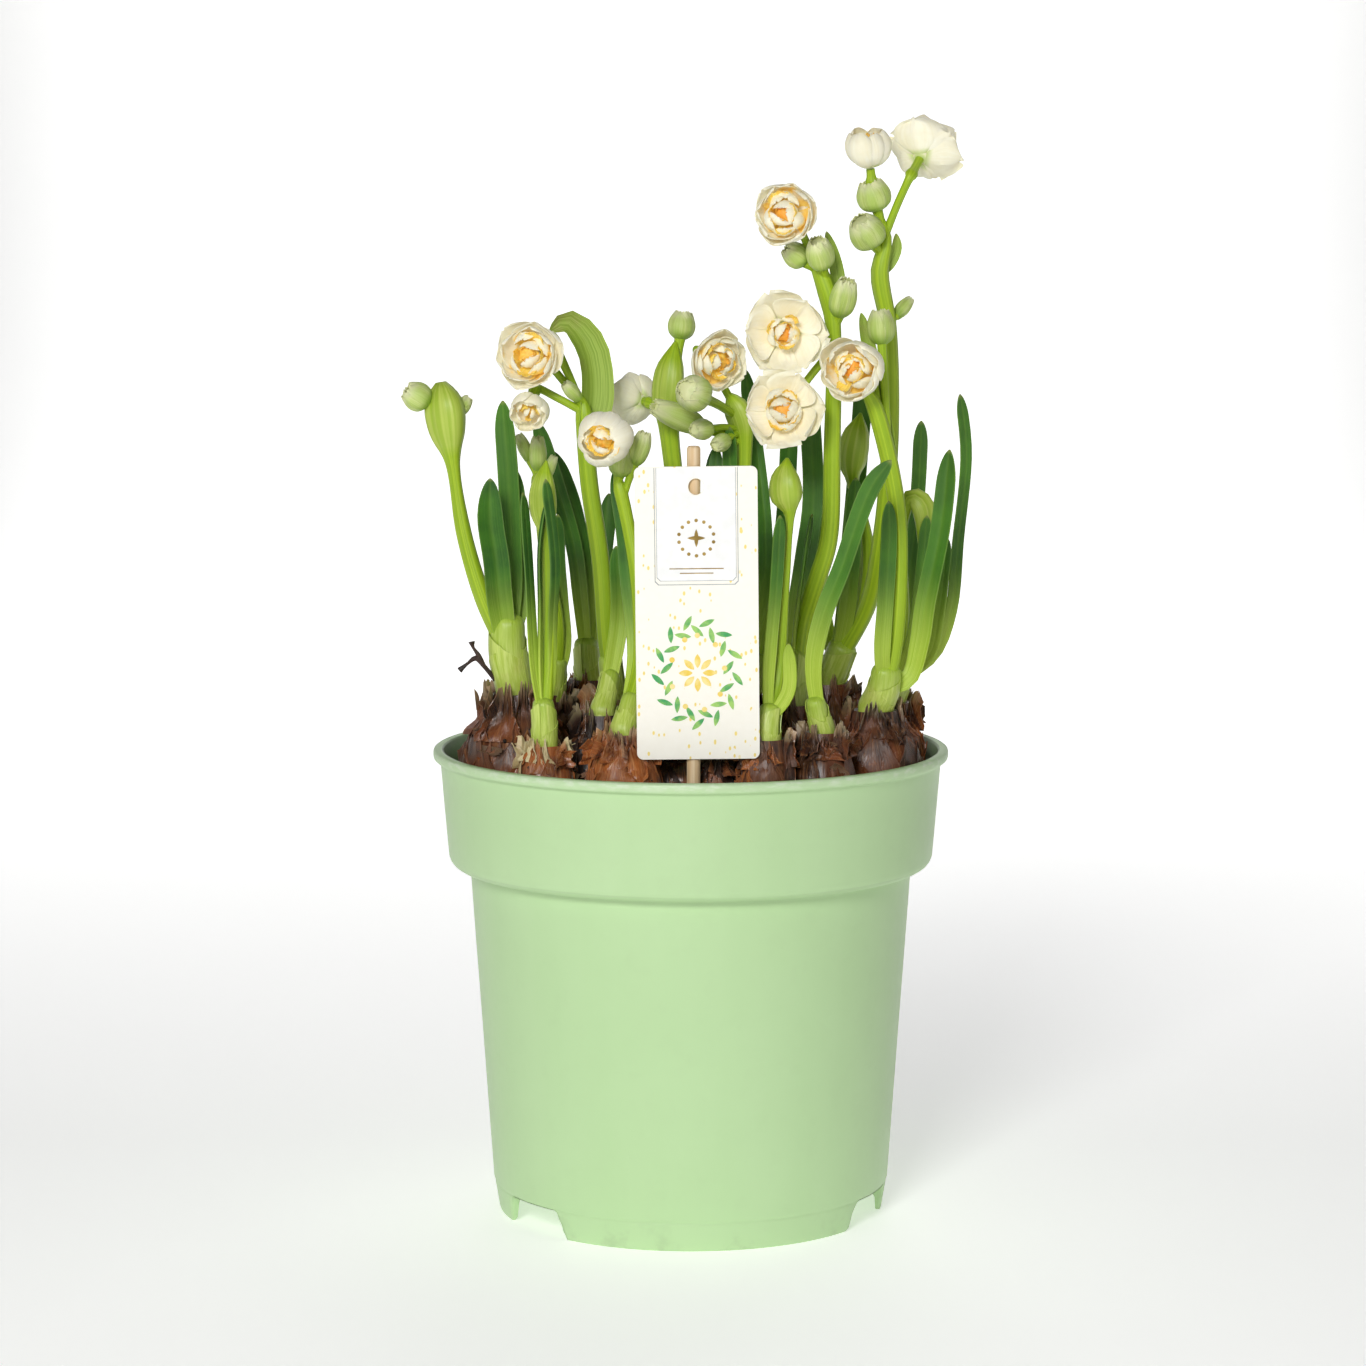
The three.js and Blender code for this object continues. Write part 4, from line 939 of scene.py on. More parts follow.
def loose_skin(into, x, y, knots, finish, seed, start, span, low, high, lift, torn=1.0):
    """One torn skin laid over part of a bulb: its sides curl up and its top edge is ragged."""
    draw = np.random.default_rng(seed)
    rows, columns = 13, 21 if span > 1.2 else 13
    across = np.linspace(-1, 1, columns)
    up = np.linspace(0, 1, rows)
    jag = 0.05 * torn * ripple_along(across * 8, 2.4, seed)
    jag = jag + torn * draw.uniform(-0.02, 0.02, columns) - 0.15 * across**2
    shares = np.clip(low + (high + jag[None] - low) * up[:, None], 0, 1.12)
    steps = np.linspace(0, 1, 60)
    middle = smooth_path(knots, steps)
    radius = np.interp(shares, steps, middle[:, 0])
    level = np.interp(shares, steps, middle[:, 2])
    level = level + np.maximum(shares - 1, 0) * (middle[-1, 2] - middle[0, 2])
    edge = 0.03 * torn * ripple_along(up * 9, 2.0, seed + 5)
    narrow = 1 - 0.45 * up[:, None] ** 1.7
    turn = start + across[None] * (narrow + edge[:, None]) * span / 2
    turn = turn + draw.uniform(-0.12, 0.12) * torn * up[:, None]
    sheet = np.stack(np.broadcast_arrays(across[None] * 6, up[:, None] * 6), 2)
    bulge = 0.25 * torn * ripple(sheet, 3.1, seed + 9)
    curl = lift * (0.3 + bulge + 1.6 * np.abs(across[None]) ** 7 + 1.4 * up[:, None] ** 5)
    place = bulb_spot(turn, level)
    lobes = 1 + 0.04 * ripple(place, 9, seed // 100) + 0.012 * torn * ripple(place, 2.6, seed + 2)
    reach = radius * lobes + 0.35 + curl
    spots = np.stack([x + reach * np.sin(turn), y - reach * np.cos(turn), level], 2)
    hidden = (spots[..., 0] > CARD_ZONE["left"]) & (spots[..., 0] < CARD_ZONE["right"])
    hidden &= spots[..., 2] > CARD_ZONE["foot"]
    spots[..., 1] = np.where(hidden, np.maximum(spots[..., 1], CARD_ZONE["back"]), spots[..., 1])
    paleness = np.clip((shares - 0.97) * 5, 0, 0.38)
    into.shell(spots, SKIN_THICK, finish, tone=paleness, seed=seed * 0.37)


def bulb_nose(into, bulb, skins, number):
    """A whole bulb: its body, six or eight loose skins and the torn collar about its neck."""
    x, y, r, neck, stalk = (bulb[key] for key in ("x", "y", "r", "neck", "stalk"))
    knots = bulb_outline(r, neck, stalk)
    body = bulb_rings(x, y, knots, np.linspace(0, 1, 24), number)
    lid = body[-1] - np.array([x, y, body[-1][:, 2].mean()])
    lid = np.array([x, y, neck - 2.0]) + lid * np.array([0.5, 0.5, 0.2])
    into.grid(np.concatenate([body, lid[None]]), TUNICS[skins[0]], seed=number * 0.7)
    draw = np.random.default_rng(number)
    count = 8 if r > 12 else 6
    turn = draw.uniform(0, 6.28)
    for k in range(count):
        turn += GOLDEN_TURN + draw.uniform(-0.3, 0.3)
        finish = TUNICS[skins[k % 2]]
        high = draw.uniform(0.55, 1.0)
        low = draw.uniform(0.0, 0.2)
        lift = draw.uniform(0.3, 0.8)
        span = draw.uniform(1.5, 2.6)
        loose_skin(into, x, y, knots, finish, number * 100 + k, turn, span, low, high, lift)
    for k in range(COLLAR_SKINS):
        finish = TUNICS[skins[1 - k % 2]]
        start = turn + k * 0.57 + draw.uniform(-0.2, 0.2)
        high = draw.uniform(0.9, 1.16)
        span = draw.uniform(0.5, 1.1)
        lift = draw.uniform(0.5, 2.2)
        low = draw.uniform(0.62, 0.8)
        loose_skin(into, x, y, knots, finish, number * 100 + 40 + k, start, span, low, high, lift, 1.9)


TWIGS = {
    "left": [
        [
            [-71, -22, 200, 1.0], [-75, -23, 205, 0.9], [-78, -23, 208, 1.1],
            [-81, -23, 206, 0.6], [-84, -23, 203.5, 1.2],
        ],
        [[-75, -23, 205, 0.8], [-77, -23, 209, 0.9], [-79, -23, 212, 0.6], [-79.5, -23, 214, 1.3]],
    ],
}
bulb_things = {}
for number, bulb in enumerate(BULBS, start=1):
    clump = Piece(f"bulb_tunics_{bulb['name']}")
    skins = SKINS[bulb["name"]]
    bulb_nose(clump, bulb, skins, number)
    if "twin" in bulb:
        bulb_nose(clump, bulb["twin"], skins[::-1], number + 30)
    for rings in TWIGS.get(bulb["name"], []):
        stem(clump, rings, TUNICS["dark"], 8, 18, seed=2.0)
    bulb_things[bulb["name"]] = clump.make("bulb_tunic", f"bulb_{bulb['name']}")
print("bulbs:", sum(triangles(t) for t in bulb_things.values()), "triangles")

# %% Bulbs: flakes and crumbs that lie on them
def flake(seed, length, width, finish):
    """A curled scrap of dry skin: a thin shell of about seventy faces."""
    scrap = Piece(f"flake_shape_{seed}")
    across = np.linspace(-1, 1, 5)
    up = np.linspace(-1, 1, 5)
    jag = 1 + 0.3 * ripple_along(across * 5, 3, seed)
    x = across[None] * width * (1 - 0.35 * up[:, None] ** 2)
    y = up[:, None] * length * jag[None]
    z = 0.5 * width * across[None] ** 2 + 0.3 * length * up[:, None] ** 2
    scrap.shell(np.stack(np.broadcast_arrays(x, y, z), 2), 0.18, finish, tone=0.1, seed=seed)
    return bpy.data.objects.new(f"flake_shape_{seed}", scrap.mesh())


def bulb_skins():
    """The bodies of all the bulbs as one mesh, to strew things on."""
    bodies = Piece("bodies")
    for number, bulb in enumerate(BULBS, start=1):
        for each in (bulb, bulb.get("twin")):
            if each:
                knots = bulb_outline(each["r"] + 0.8, each["neck"], each["stalk"])
                rings = bulb_rings(each["x"], each["y"], knots, np.linspace(0.28, 1, 18), number, 40)
                bodies.grid(rings, TUNICS["russet"], caps="none")
    return bodies.mesh()


carrier = bulb_skins()
FLAKE_SIZES = {21: (3.2, 1.8), 22: (2.2, 1.6), 23: (4.2, 1.5)}
flakes = [flake(k, *size, TUNICS["russet"]) for k, size in FLAKE_SIZES.items()]
tree, named = scatter_tree("strewn_flakes", flakes, TUNICS["russet"])
flakes_thing = strewn_piece(
    "bulb_flakes", carrier, tree, named, "bulb_tunic",
    Spacing=0.006, Density=1500.0, Smallest=0.5, Largest=1.4, Sink=0.0, Seed=6, Tilt=0.7,
)
tree, named = scatter_tree("strewn_bulb_crumbs", crumbs, crumb_peat)
dirt_thing = strewn_piece(
    "bulb_crumbs", carrier, tree, named, "compost",
    Spacing=0.002, Density=9000.0, Smallest=0.3, Largest=0.95, Sink=0.0002, Seed=9, Tilt=0.8,
)
print("flakes:", triangles(flakes_thing), "and crumbs:", triangles(dirt_thing), "triangles")

# %% [markdown]
# ## What grows from each bulb
# Each list below is one shoot, in millimetres, and every row of points runs upwards. A sheath has
# a point inside it, its top and its radius. A leaf has its width, the turn of its flat face from
# the front, and its points. A stem is rings of x, y, z and radius, the last ones its spathe. A bud
# has where its stalk leaves, its middle, length, radius and stalk radius. A flap is a papery tongue.
# A bloom has its name, where its stalk leaves, its middle, the way it faces, radius and cupping.

# %% Shoots: the plan
SHOOTS = {
    "left": {
        "sheath": [[-66.5, -20, 210], [-66.5, -20, 224], 6.6],
        "leaves": [
            [9.4, 5, [[-69, -28, 230], [-70, -31, 244], [-72, -33, 259], [-72, -33, 274]]],
            [7.6, -8, [[-65, -17, 230], [-65, -16, 243], [-66, -17, 272], [-68, -18, 301]]],
            [6.4, 10, [[-62, -14, 228], [-63, -12, 254], [-64, -12, 276]]],
        ],
        "stems": [
            [[-75, -22, 229, 3.2], [-82, -22, 253, 2.9], [-86, -22, 279, 2.8], [-87.5, -22, 290, 6.6],
             [-88.5, -22, 299, 7.3], [-90, -22, 308, 4.4]],
        ],
        "buds": [
            [[-89, -22, 297], [-98.4, -24, 303], 9.5, 5, 1.8],
            [[-88, -22, 292], [-82.5, -20, 299], 8, 2.6, 1.4],
        ],
    },
    "front_left": {
        "sheath": [[-52, -57, 188], [-52.5, -58, 198], 4.2],
        "leaves": [
            [4.4, 50, [[-55, -60, 205], [-56, -60, 219], [-57, -60, 240], [-59, -60, 271]]],
            [3.4, 70, [[-53, -59, 205], [-53, -60, 230], [-53, -60, 252], [-51, -61, 267]]],
            [4.2, 40, [[-49.5, -57, 205], [-49, -57, 225], [-48, -60, 247], [-51, -63.5, 276]]],
        ],
        "stems": [
            [[-50.5, -55, 218, 2.5], [-51, -54.5, 255, 2.6], [-52, -54.5, 265, 4.9],
             [-52, -54.5, 273, 4.3], [-51, -54.5, 282, 0.8]],
        ],
    },
    "front_onion": {
        "sheath": [[-22.5, -60.5, 192], [-20.5, -56, 199], 4],
        "leaves": [[6.4, -12, [[-19.5, -50, 214], [-22, -46, 239], [-24, -45, 260], [-27, -44, 278]]]],
        "stems": [
            [[-18, -52, 210, 2.7], [-19, -49, 239, 2.5], [-23, -47, 262, 2.4], [-26, -47, 275, 2.6]],
        ],
        "buds": [
            [[-24, -47, 268], [-18, -50, 286], 12, 3.4, 1.4],
            [[-26, -47, 272], [-24.5, -48.5, 281], 10, 4.4, 1.6],
        ],
        "blooms": [["globe", [-26, -47, 273], [-28.5, -57, 291], [-0.3, -0.93, -0.15], 10.4, 2.4]],
    },
    "dark_left": {
        "sheath": [[-30.5, -31, 195], [-28.5, -27, 204], 3.6],
        "leaves": [[6.6, 8, [[-26, -24, 222], [-26, -25, 236], [-27, -25, 249]]]],
    },
    "mid_left": {
        "sheath": [[-29, -5, 198], [-30, -7, 208], 4.4],
        "stems": [
            [[-31, -8, 213, 3.2], [-33, -12, 243, 3.3], [-37, -14, 272, 3.3], [-39, -16, 301, 3.2]],
        ],
        "flaps": [
            [13, 32, [[-38, -14.5, 284], [-34.5, -14, 305], [-37, -14, 321], [-45, -14, 329.5],
             [-51, -15, 326]]],
        ],
        "buds": [
            [[-39, -16, 298], [-49.5, -15, 322], 7, 2.4, 1.5],
            [[-38, -16, 299], [-43, -18.5, 304.5], 8, 2.4, 1.6],
        ],
        "blooms": [
            ["left_high", [-40, -16, 300], [-57.5, -27, 318], [-0.25, -0.95, 0.1], 13, 1.1],
            ["left_half_open", [-39, -16, 297], [-57.5, -24, 299.5], [-0.12, -0.84, -0.54], 7.4, 1.9],
        ],
    },
    "left_rear": {
        "sheath": [[-50.5, 10, 195], [-49.5, 8, 205], 4],
        "leaves": [[5.4, 0, [[-47, 8, 207], [-48, 8, 226], [-49, 6, 241], [-49, 4, 258]]]],
        "stems": [[[-49, 6, 215, 2.5], [-53, 3, 240, 2.5], [-55, 0, 262, 2.6], [-56, -1, 274, 3.2]]],
        "buds": [
            [[-55.5, -0.5, 270], [-61, 0, 283], 10, 2.2, 1.3],
            [[-56, -1, 272], [-56, -2, 281], 12, 3, 1.3],
            [[-55, 0, 268], [-52, 0, 275], 10, 2, 1.2],
        ],
    },
    "back_left": {
        "sheath": [[-39.5, 45, 200], [-40, 44, 208], 4.6],
        "leaves": [
            [6.2, -10, [[-41.5, 41, 222], [-44, 39, 243], [-50, 36, 265], [-58, 33, 291]]],
            [6.2, 15, [[-39, 46, 222], [-41, 45, 241], [-45, 43, 260], [-52, 39, 279]]],
            [7, 160, [[-36, 50, 215], [-33, 52, 240], [-31, 53, 262]]],
        ],
    },
    "centre": {
        "sheath": [[-1.5, 18, 198], [-1, 15, 206], 4.8],
        "leaves": [[7.4, 20, [[-4, 17, 215], [-8, 15, 240], [-11, 14, 268]]]],
        "stems": [
            [[-1, 12, 218, 3.6], [-3, 5, 245, 3.6], [-8, 0, 290, 3.8], [-8.5, 0, 300, 5.5],
             [-7.5, 0, 311, 5.3], [-5.5, 0, 321.5, 1.6]],
        ],
        "buds": [[[-5, 1, 314], [-3.4, 2, 327.5], 9.8, 4.7, 1.8]],
        "blooms": [["back_turned", [-9, 1, 297], [-20, 12, 300], [-0.6, 0.78, 0.12], 10.6, 1.2]],
    },
    "centre_right": {
        "sheath": [[10.5, -15, 196], [11.5, -13, 206], 4.8],
        "leaves": [
            [5.3, 5, [[13, 0, 226], [14.5, -2, 256], [14, -6, 291]]],
            [5.8, 25, [[22, -5, 213], [27, 2, 235], [27, 4, 256], [22, 12, 296], [20, 14, 311]]],
            [5, -10, [[8, -8, 220], [8, 0, 250], [9.5, 6, 283]]],
        ],
        "stems": [
            [[14, -4, 226, 3], [18, 0, 256, 3], [19.5, 0, 286, 3.3], [18.5, 0, 293, 4.9],
             [16, -0.5, 299, 4.4], [13.5, -1, 303, 1.6]],
        ],
        "buds": [
            [[16, -1, 295], [1, -31, 304.5], 12, 6.2, 1.7],
            [[17, -1, 290], [4, -15, 290.5], 9, 3.6, 1.3],
            [[17.5, -1, 288], [11, -12, 285.5], 9, 3, 1.3],
            [[17, -1, 285], [-4.5, -12.5, 295], 22, 4.4, 1.8],
        ],
        "blooms": [["middle", [15.5, -1, 299], [9, -10, 315.5], [0.5, -0.84, -0.2], 12, 1.2]],
    },
    "front_right": {
        "sheath": [[27.5, -61, 190], [28.5, -59.5, 196], 4.2],
        "leaves": [
            [4.6, 12, [[27.5, -59.5, 205], [28.5, -59, 219], [30, -59.5, 236], [31.5, -60.5, 263]]],
            [4.8, -10, [[34.5, -62.5, 201], [34.5, -64, 218]]],
        ],
        "stems": [
            [[31, -54, 205, 2.3], [33.5, -54, 240, 1.7], [35, -55, 263, 2], [34, -55.5, 269, 5.6],
             [33.5, -56, 276, 5.1], [34, -56, 283, 1.2]],
        ],
    },
    "front_far_right": {
        "sheath": [[45.5, -53.5, 191], [44, -55.5, 198], 3.7],
        "leaves": [
            [6.8, -20, [[43.5, -58, 210], [47, -60, 228], [53, -62, 244], [63, -66, 273],
             [70, -68, 283]]],
        ],
    },
    "tall_right": {
        "sheath": [[38.5, -13, 198], [39.5, -11.5, 210], 4],
        "leaves": [
            [3.2, 75, [[38, -13, 214], [41, -18, 240], [44, -19.5, 260]]],
            [7.6, 0, [[37.5, -3, 209], [42, 3, 241], [45, 5, 263], [43, 7, 305]]],
        ],
        "stems": [
            [[41.5, -10, 220, 3.4], [46, -16, 236, 3.4], [50, -20, 251, 3.3], [51, -22.5, 285, 3.1],
             [51, -25, 329, 2.9], [49, -25, 340, 3.6], [45, -25.5, 350, 2.6], [41, -27, 357, 1.8]],
        ],
        "buds": [
            [[47, -25, 346], [37.5, -27, 353.5], 9, 4.3, 1.5],
            [[49, -25, 342], [46, -32, 354], 12, 4.7, 1.5],
            [[51.5, -25, 326], [54.5, -29.5, 338.5], 14, 4.6, 1.8],
        ],
        "flaps": [[5.5, 20, [[52, -24, 331], [52.5, -23.5, 345], [48.5, -24, 362]]]],
        "blooms": [
            ["high", [43, -26, 354], [34, -38, 368], [-0.25, -0.94, 0.1], 12, 1.3],
            ["largest", [50, -24.5, 324], [33.5, -34, 326], [0.05, -0.99, -0.04], 15.4, 0.7],
            ["lower", [49.5, -23.5, 318], [33, -39, 299], [-0.08, -0.97, 0.12], 14.6, 0.8],
        ],
    },
    "right": {
        "sheath": [[70, -24, 197], [71, -25, 206], 5.6],
        "leaves": [
            [6.2, 12, [[69, -32, 212], [70, -33, 230], [71, -34, 252], [71, -34, 266]]],
            [7.6, -25, [[79, -21, 200], [83, -22, 213], [85, -24, 228], [90, -27, 255], [93, -28, 284]]],
        ],
        "stems": [
            [[73, -26, 211, 3.5], [75, -27, 235, 3.3], [74, -29, 265, 3.1], [66, -33, 299, 3.0],
             [62, -37, 307, 2.4]],
        ],
        "buds": [[[71, -31, 283], [68, -29, 328], 12, 4.6, 1.5]],
        "flaps": [[5, -10, [[72, -29.5, 285], [66, -27, 312], [61, -26, 333]]]],
        "blooms": [["right_half_open", [69, -32, 290], [59, -42, 314], [-0.35, -0.92, -0.1], 11.8, 1.7]],
    },
    "right_rear": {
        "sheath": [[76, 7, 195], [78, 5, 203], 5.2],
        "leaves": [
            [5.4, 10, [[80, 11, 212], [81, 12, 232], [84, 12, 266], [85, 12, 292]]],
            [5, 25, [[90, 4, 206], [96, 5, 222], [98.6, 8, 248], [101.3, 8, 280], [99, 8, 302]]],
            [4.4, 0, [[81, -8, 213], [83, -11, 228], [86, -13, 259]]],
            [4, -15, [[88, -3, 207], [91, -4, 220], [94, -5, 250]]],
        ],
        "stems": [
            [[78, -1, 220, 2.4], [77.5, -4, 256, 2.2], [80.5, -5, 265, 3.2], [84, -6, 263, 4.2],
             [85.5, -6.5, 256, 3.6], [84, -7, 245, 1]],
        ],
    },
    "back_right": {
        "sheath": [[55, 32, 200], [58, 30, 208], 5.6],
        "leaves": [
            [7, 0, [[58, 34, 220], [59.5, 33, 239], [62, 31, 269], [65, 30, 310]]],
            [6.6, 10, [[58, 24, 218], [59, 16, 232], [60, 12, 250], [61, 12, 271]]],
            [7, 170, [[50, 42, 216], [48, 45, 240], [47, 46, 270]]],
        ],
        "stems": [
            [[66, 25, 222, 3.4], [70, 14, 244, 3.3], [73, 1, 285, 3.2], [72, -4, 326, 3.1],
             [68.5, -6, 347, 3.4], [70.5, -6.5, 359, 2.4], [66.5, -7, 371, 1.8]],
            [[64, 27, 222, 2.8], [65.5, 23, 246, 2.6], [60, 20, 270, 2.6], [60, 20, 276, 5.4],
             [61.5, 20, 286, 5.1], [63, 20, 294.5, 1]],
        ],
        "buds": [
            [[69.5, -6, 352], [63.5, -12, 361.5], 12, 6.2, 1.8],
            [[69.5, -7, 362], [66, -9, 374.5], 11, 6, 1.7],
            [[72, -4, 328], [77.5, 0, 334], 9, 2.4, 1.4],
        ],
        "flaps": [[5, 35, [[68.5, -4, 346], [74, -3.5, 354], [74.5, -4, 361]]]],
        "blooms": [
            ["cup", [68, -7, 369], [64.5, -7.5, 388], [-0.12, -0.2, 0.97], 8.6, 2.3],
            ["top_turned", [70, -6, 359], [85, 2, 391], [0.34, 0.74, 0.56], 14, 0.7],
        ],
    },
    "rear_middle": {
        "sheath": [[24, 20, 196], [26, 23, 204], 3.8],
        "leaves": [
            [6.8, 5, [[31, 29, 225], [35, 30, 252], [37, 30, 291]]],
            [6, 150, [[25, 32, 225], [22, 36, 250], [20, 38, 272]]],
        ],
    },
    "back": {
        "sheath": [[5, 56, 199], [5, 56, 207], 4.8],
        "leaves": [
            [7.4, 175, [[6, 56, 225], [8, 53, 255], [9.5, 50, 280]]],
            [7, 190, [[1, 59, 222], [-6, 60, 245], [-12, 58, 262]]],
            [6.4, 160, [[10, 58, 222], [17, 59, 240], [23, 57, 258]]],
        ],
    },
}

for kind in ("leaves", "buds"):
    print(sum(len(plan.get(kind, [])) for plan in SHOOTS.values()), kind)

# %% [markdown]
# ## Leaf, stem, bud and paper
# Narcissus leaves are thick and waxy: blue-green, with fine parallel veins, a paler middle channel
# and pale yellow-green feet, where the soil and the sheath kept the light off. Their edges get a
# painted highlight of lighter green. Stems are brighter, with shallow ribs. The spathe that wrapped
# the buds dries to thin paper with brown veins. A tone of 0 to 1 on each point says how young or how
# dry the tissue is.

# %% Shoots: the materials
leaf_skin, tree, surface, place = material(
    "narcissus_leaf_waxy_grown", roughness=0.42, Specular_IOR_Level=0.3,
)
spot, tone, seed, across, along = surface_map(tree)
veins = veined(tree, spot, 46, 0.8, 3)
blotch = noise(tree, place, 55, 4)
middle = maths(tree, "ABSOLUTE", minus(tree, across, 0.5))
grown = mixed(tree, stepped(tree, blotch, 0.3, 0.7), "24501B", "3F741E")
vary = maths(tree, "FRACT", times(tree, seed, 7.31))
grown = mixed(tree, times(tree, vary, 0.4), grown, "5C8E2C")
grown = mixed(tree, times(tree, stepped(tree, middle, 0.2, 0.0), 0.16), grown, "86AE42")
# Painted highlight: the strap's edges are mixed a little towards a lighter green.
grown = mixed(tree, times(tree, stepped(tree, middle, 0.45, 0.5), 0.3), grown, "8CB24C")
grown = mixed(tree, times(tree, stepped(tree, veins, 0.5, 0.7), 0.2), grown, "79A43A")
young = mixed(tree, stepped(tree, veins, 0.4, 0.66), "A6C438", "C6DA5E")
colour = mixed(tree, stepped(tree, tone, 0.0, 0.85), young, grown)
tip = times(tree, stepped(tree, along, 0.98, 1.0), 0.5)
colour = mixed(tree, tip, colour, "A8A860")
relief = bumped(tree, veins, 0.0001)
relief = bumped(tree, noise(tree, place, 2600, 2), 0.000018, relief)
wax = plus(tree, times(tree, blotch, 0.22), 0.3)
painted(tree, surface, Base_Color=colour, Normal=relief, Roughness=wax)

stem_skin, tree, surface, place = material(
    "narcissus_stem_ribbed_smooth", roughness=0.4, Specular_IOR_Level=0.35,
)
spot, tone, *_ = surface_map(tree)
ribs = veined(tree, spot, 26, 0.6, 3, 0.5)
blotch = noise(tree, place, 60, 3)
green = mixed(tree, stepped(tree, ribs, 0.36, 0.64), "84A818", "A8C42A")
green = mixed(tree, times(tree, blotch, 0.5), green, "B2CB30")
dry = mixed(tree, stepped(tree, ribs, 0.4, 0.66), "A2BA40", "C0CE66")
dry = mixed(tree, times(tree, stepped(tree, blotch, 0.55, 0.75), 0.5), dry, "8FA23C")
colour = mixed(tree, tone, green, dry)
painted(tree, surface, Base_Color=colour, Normal=bumped(tree, ribs, 0.0003))

bud_skin, tree, surface, _ = material(
    "narcissus_bud_petals_closed", roughness=0.45, Subsurface_Weight=0.2, Subsurface_Scale=0.0006,
)
spot, _, _, across, along = surface_map(tree)
veins = veined(tree, spot, 30, 0.9, 4)
middle = maths(tree, "ABSOLUTE", minus(tree, across, 0.5))
pale = mixed(tree, stepped(tree, veins, 0.36, 0.66), "BDD06C", "D0DE8C")
pale = mixed(tree, stepped(tree, along, 0.62, 1.0), pale, "E6E9B4")
fading = minus(tree, 0.6, times(tree, along, 0.4))
rib = times(tree, stepped(tree, middle, 0.24, 0.03), fading)
pale = mixed(tree, rib, pale, "9CBC48")
pale = mixed(tree, stepped(tree, along, 0.38, 0.0), pale, "8EB038")
painted(tree, surface, Base_Color=pale, Normal=bumped(tree, veins, 0.0003))

spathe_skin, tree, surface, place = material("spathe_paper_dried", roughness=0.55)
spot, tone, *_ = surface_map(tree)
veins = veined(tree, spot, 38, 1.2, 5, 0.6)
blotch = noise(tree, place, 90, 4)
fresh = mixed(tree, stepped(tree, veins, 0.38, 0.64), "86A432", "AAC352")
dried = mixed(tree, stepped(tree, veins, 0.4, 0.62), "7E5A34", "CDB98C")
share = plus(tree, tone, times(tree, minus(tree, blotch, 0.5), 0.9))
colour = mixed(tree, stepped(tree, share, 0.25, 0.85), fresh, dried)
painted(tree, surface, Base_Color=colour, Normal=bumped(tree, veins, 0.00018))

sheath_skin, tree, surface, place = material("leaf_sheath_pale_moist", roughness=0.35)
spot, tone, *_ = surface_map(tree)
veins = veined(tree, spot, 34, 1.4, 4, 0.6)
blotch = noise(tree, place, 70, 4)
pale = mixed(tree, stepped(tree, veins, 0.36, 0.66), "AEC448", "CCDC74")
pale = mixed(tree, times(tree, stepped(tree, blotch, 0.5, 0.75), 0.3), pale, "B2A25A")
colour = mixed(tree, tone, pale, "98B832")
painted(tree, surface, Base_Color=colour, Normal=bumped(tree, veins, 0.00035))
print("five plant materials")

# %% [markdown]
# ## How the parts of a shoot are formed
# A leaf is a strap along its path. Its width comes from a rule (a narrower foot, an even strap, a
# tapering tip), its section is a shallow channel with thin edges, and it twists a little. It is pale
# at its foot and fully green where it has come 5 cm out of the sheath. A bud is three outer petals
# wrapped over each other round three inner ones, on a short stalk. A sheath is a fleshy tube with a
# papery wrap that ends in a V.

# %% Shoots: leaf and flap
GREEN = {"from": 203, "over": 48}


def strap(into, width, turn, points, finish, seed, thick=1.5, channel=0.13, dry=None, pointed=1.0):
    """A strap leaf, or a thin papery flap, along its points."""
    length = np.linalg.norm(np.diff(np.array(points, float), axis=0), axis=1).sum()
    tip = min(0.5, 1.7 * pointed * width / length)
    body = np.linspace(0, 1 - tip, 22)
    close = 1 - tip + tip * np.sin(np.linspace(0, math.pi / 2, 9)[1:])
    shares = np.concatenate([body, close])
    round_off = np.clip(1 - (np.clip(shares - (1 - tip), 0, 1) / tip) ** 2, 0.002, 1) ** 0.6
    foot = 0.7 + 0.3 * np.clip(shares / 0.3, 0, 1) ** 0.7
    widths = width * foot * round_off
    path = smooth_path(points, shares)
    ahead = unit(np.gradient(path, shares, axis=0))
    sway = math.radians(turn) + 0.16 * np.sin(seed * 5 + shares * 2.6) * shares
    face = np.column_stack([np.sin(sway), -np.cos(sway), np.zeros(len(sway))])
    side = unit(np.cross(ahead, face))
    front = np.cross(side, ahead)
    across = np.linspace(-1, 1, 13)
    lift = channel * widths[:, None] * (across**2 - 0.5)
    keel = -0.03 * widths[:, None] * np.exp(-((across / 0.22) ** 2))
    wave = 0.025 * width * np.sin(shares * 14 + seed * 3)[:, None] * across * np.abs(across)
    spots = path[:, None] + side[:, None] * (across * widths[:, None] / 2)[..., None]
    spots = spots + front[:, None] * (lift + keel + wave)[..., None]
    section = thick * (1 - 0.72 * np.abs(across) ** 2.5) * (0.35 + 0.65 * round_off[:, None])
    grown = np.clip((path[:, 2] - GREEN["from"]) / GREEN["over"], 0, 1) if dry is None else dry
    into.shell(spots, section, finish, v=shares, tone=grown, seed=seed)


# %% Shoots: buds
BUD_RAGGED = 0.5
THIRD = 2.094


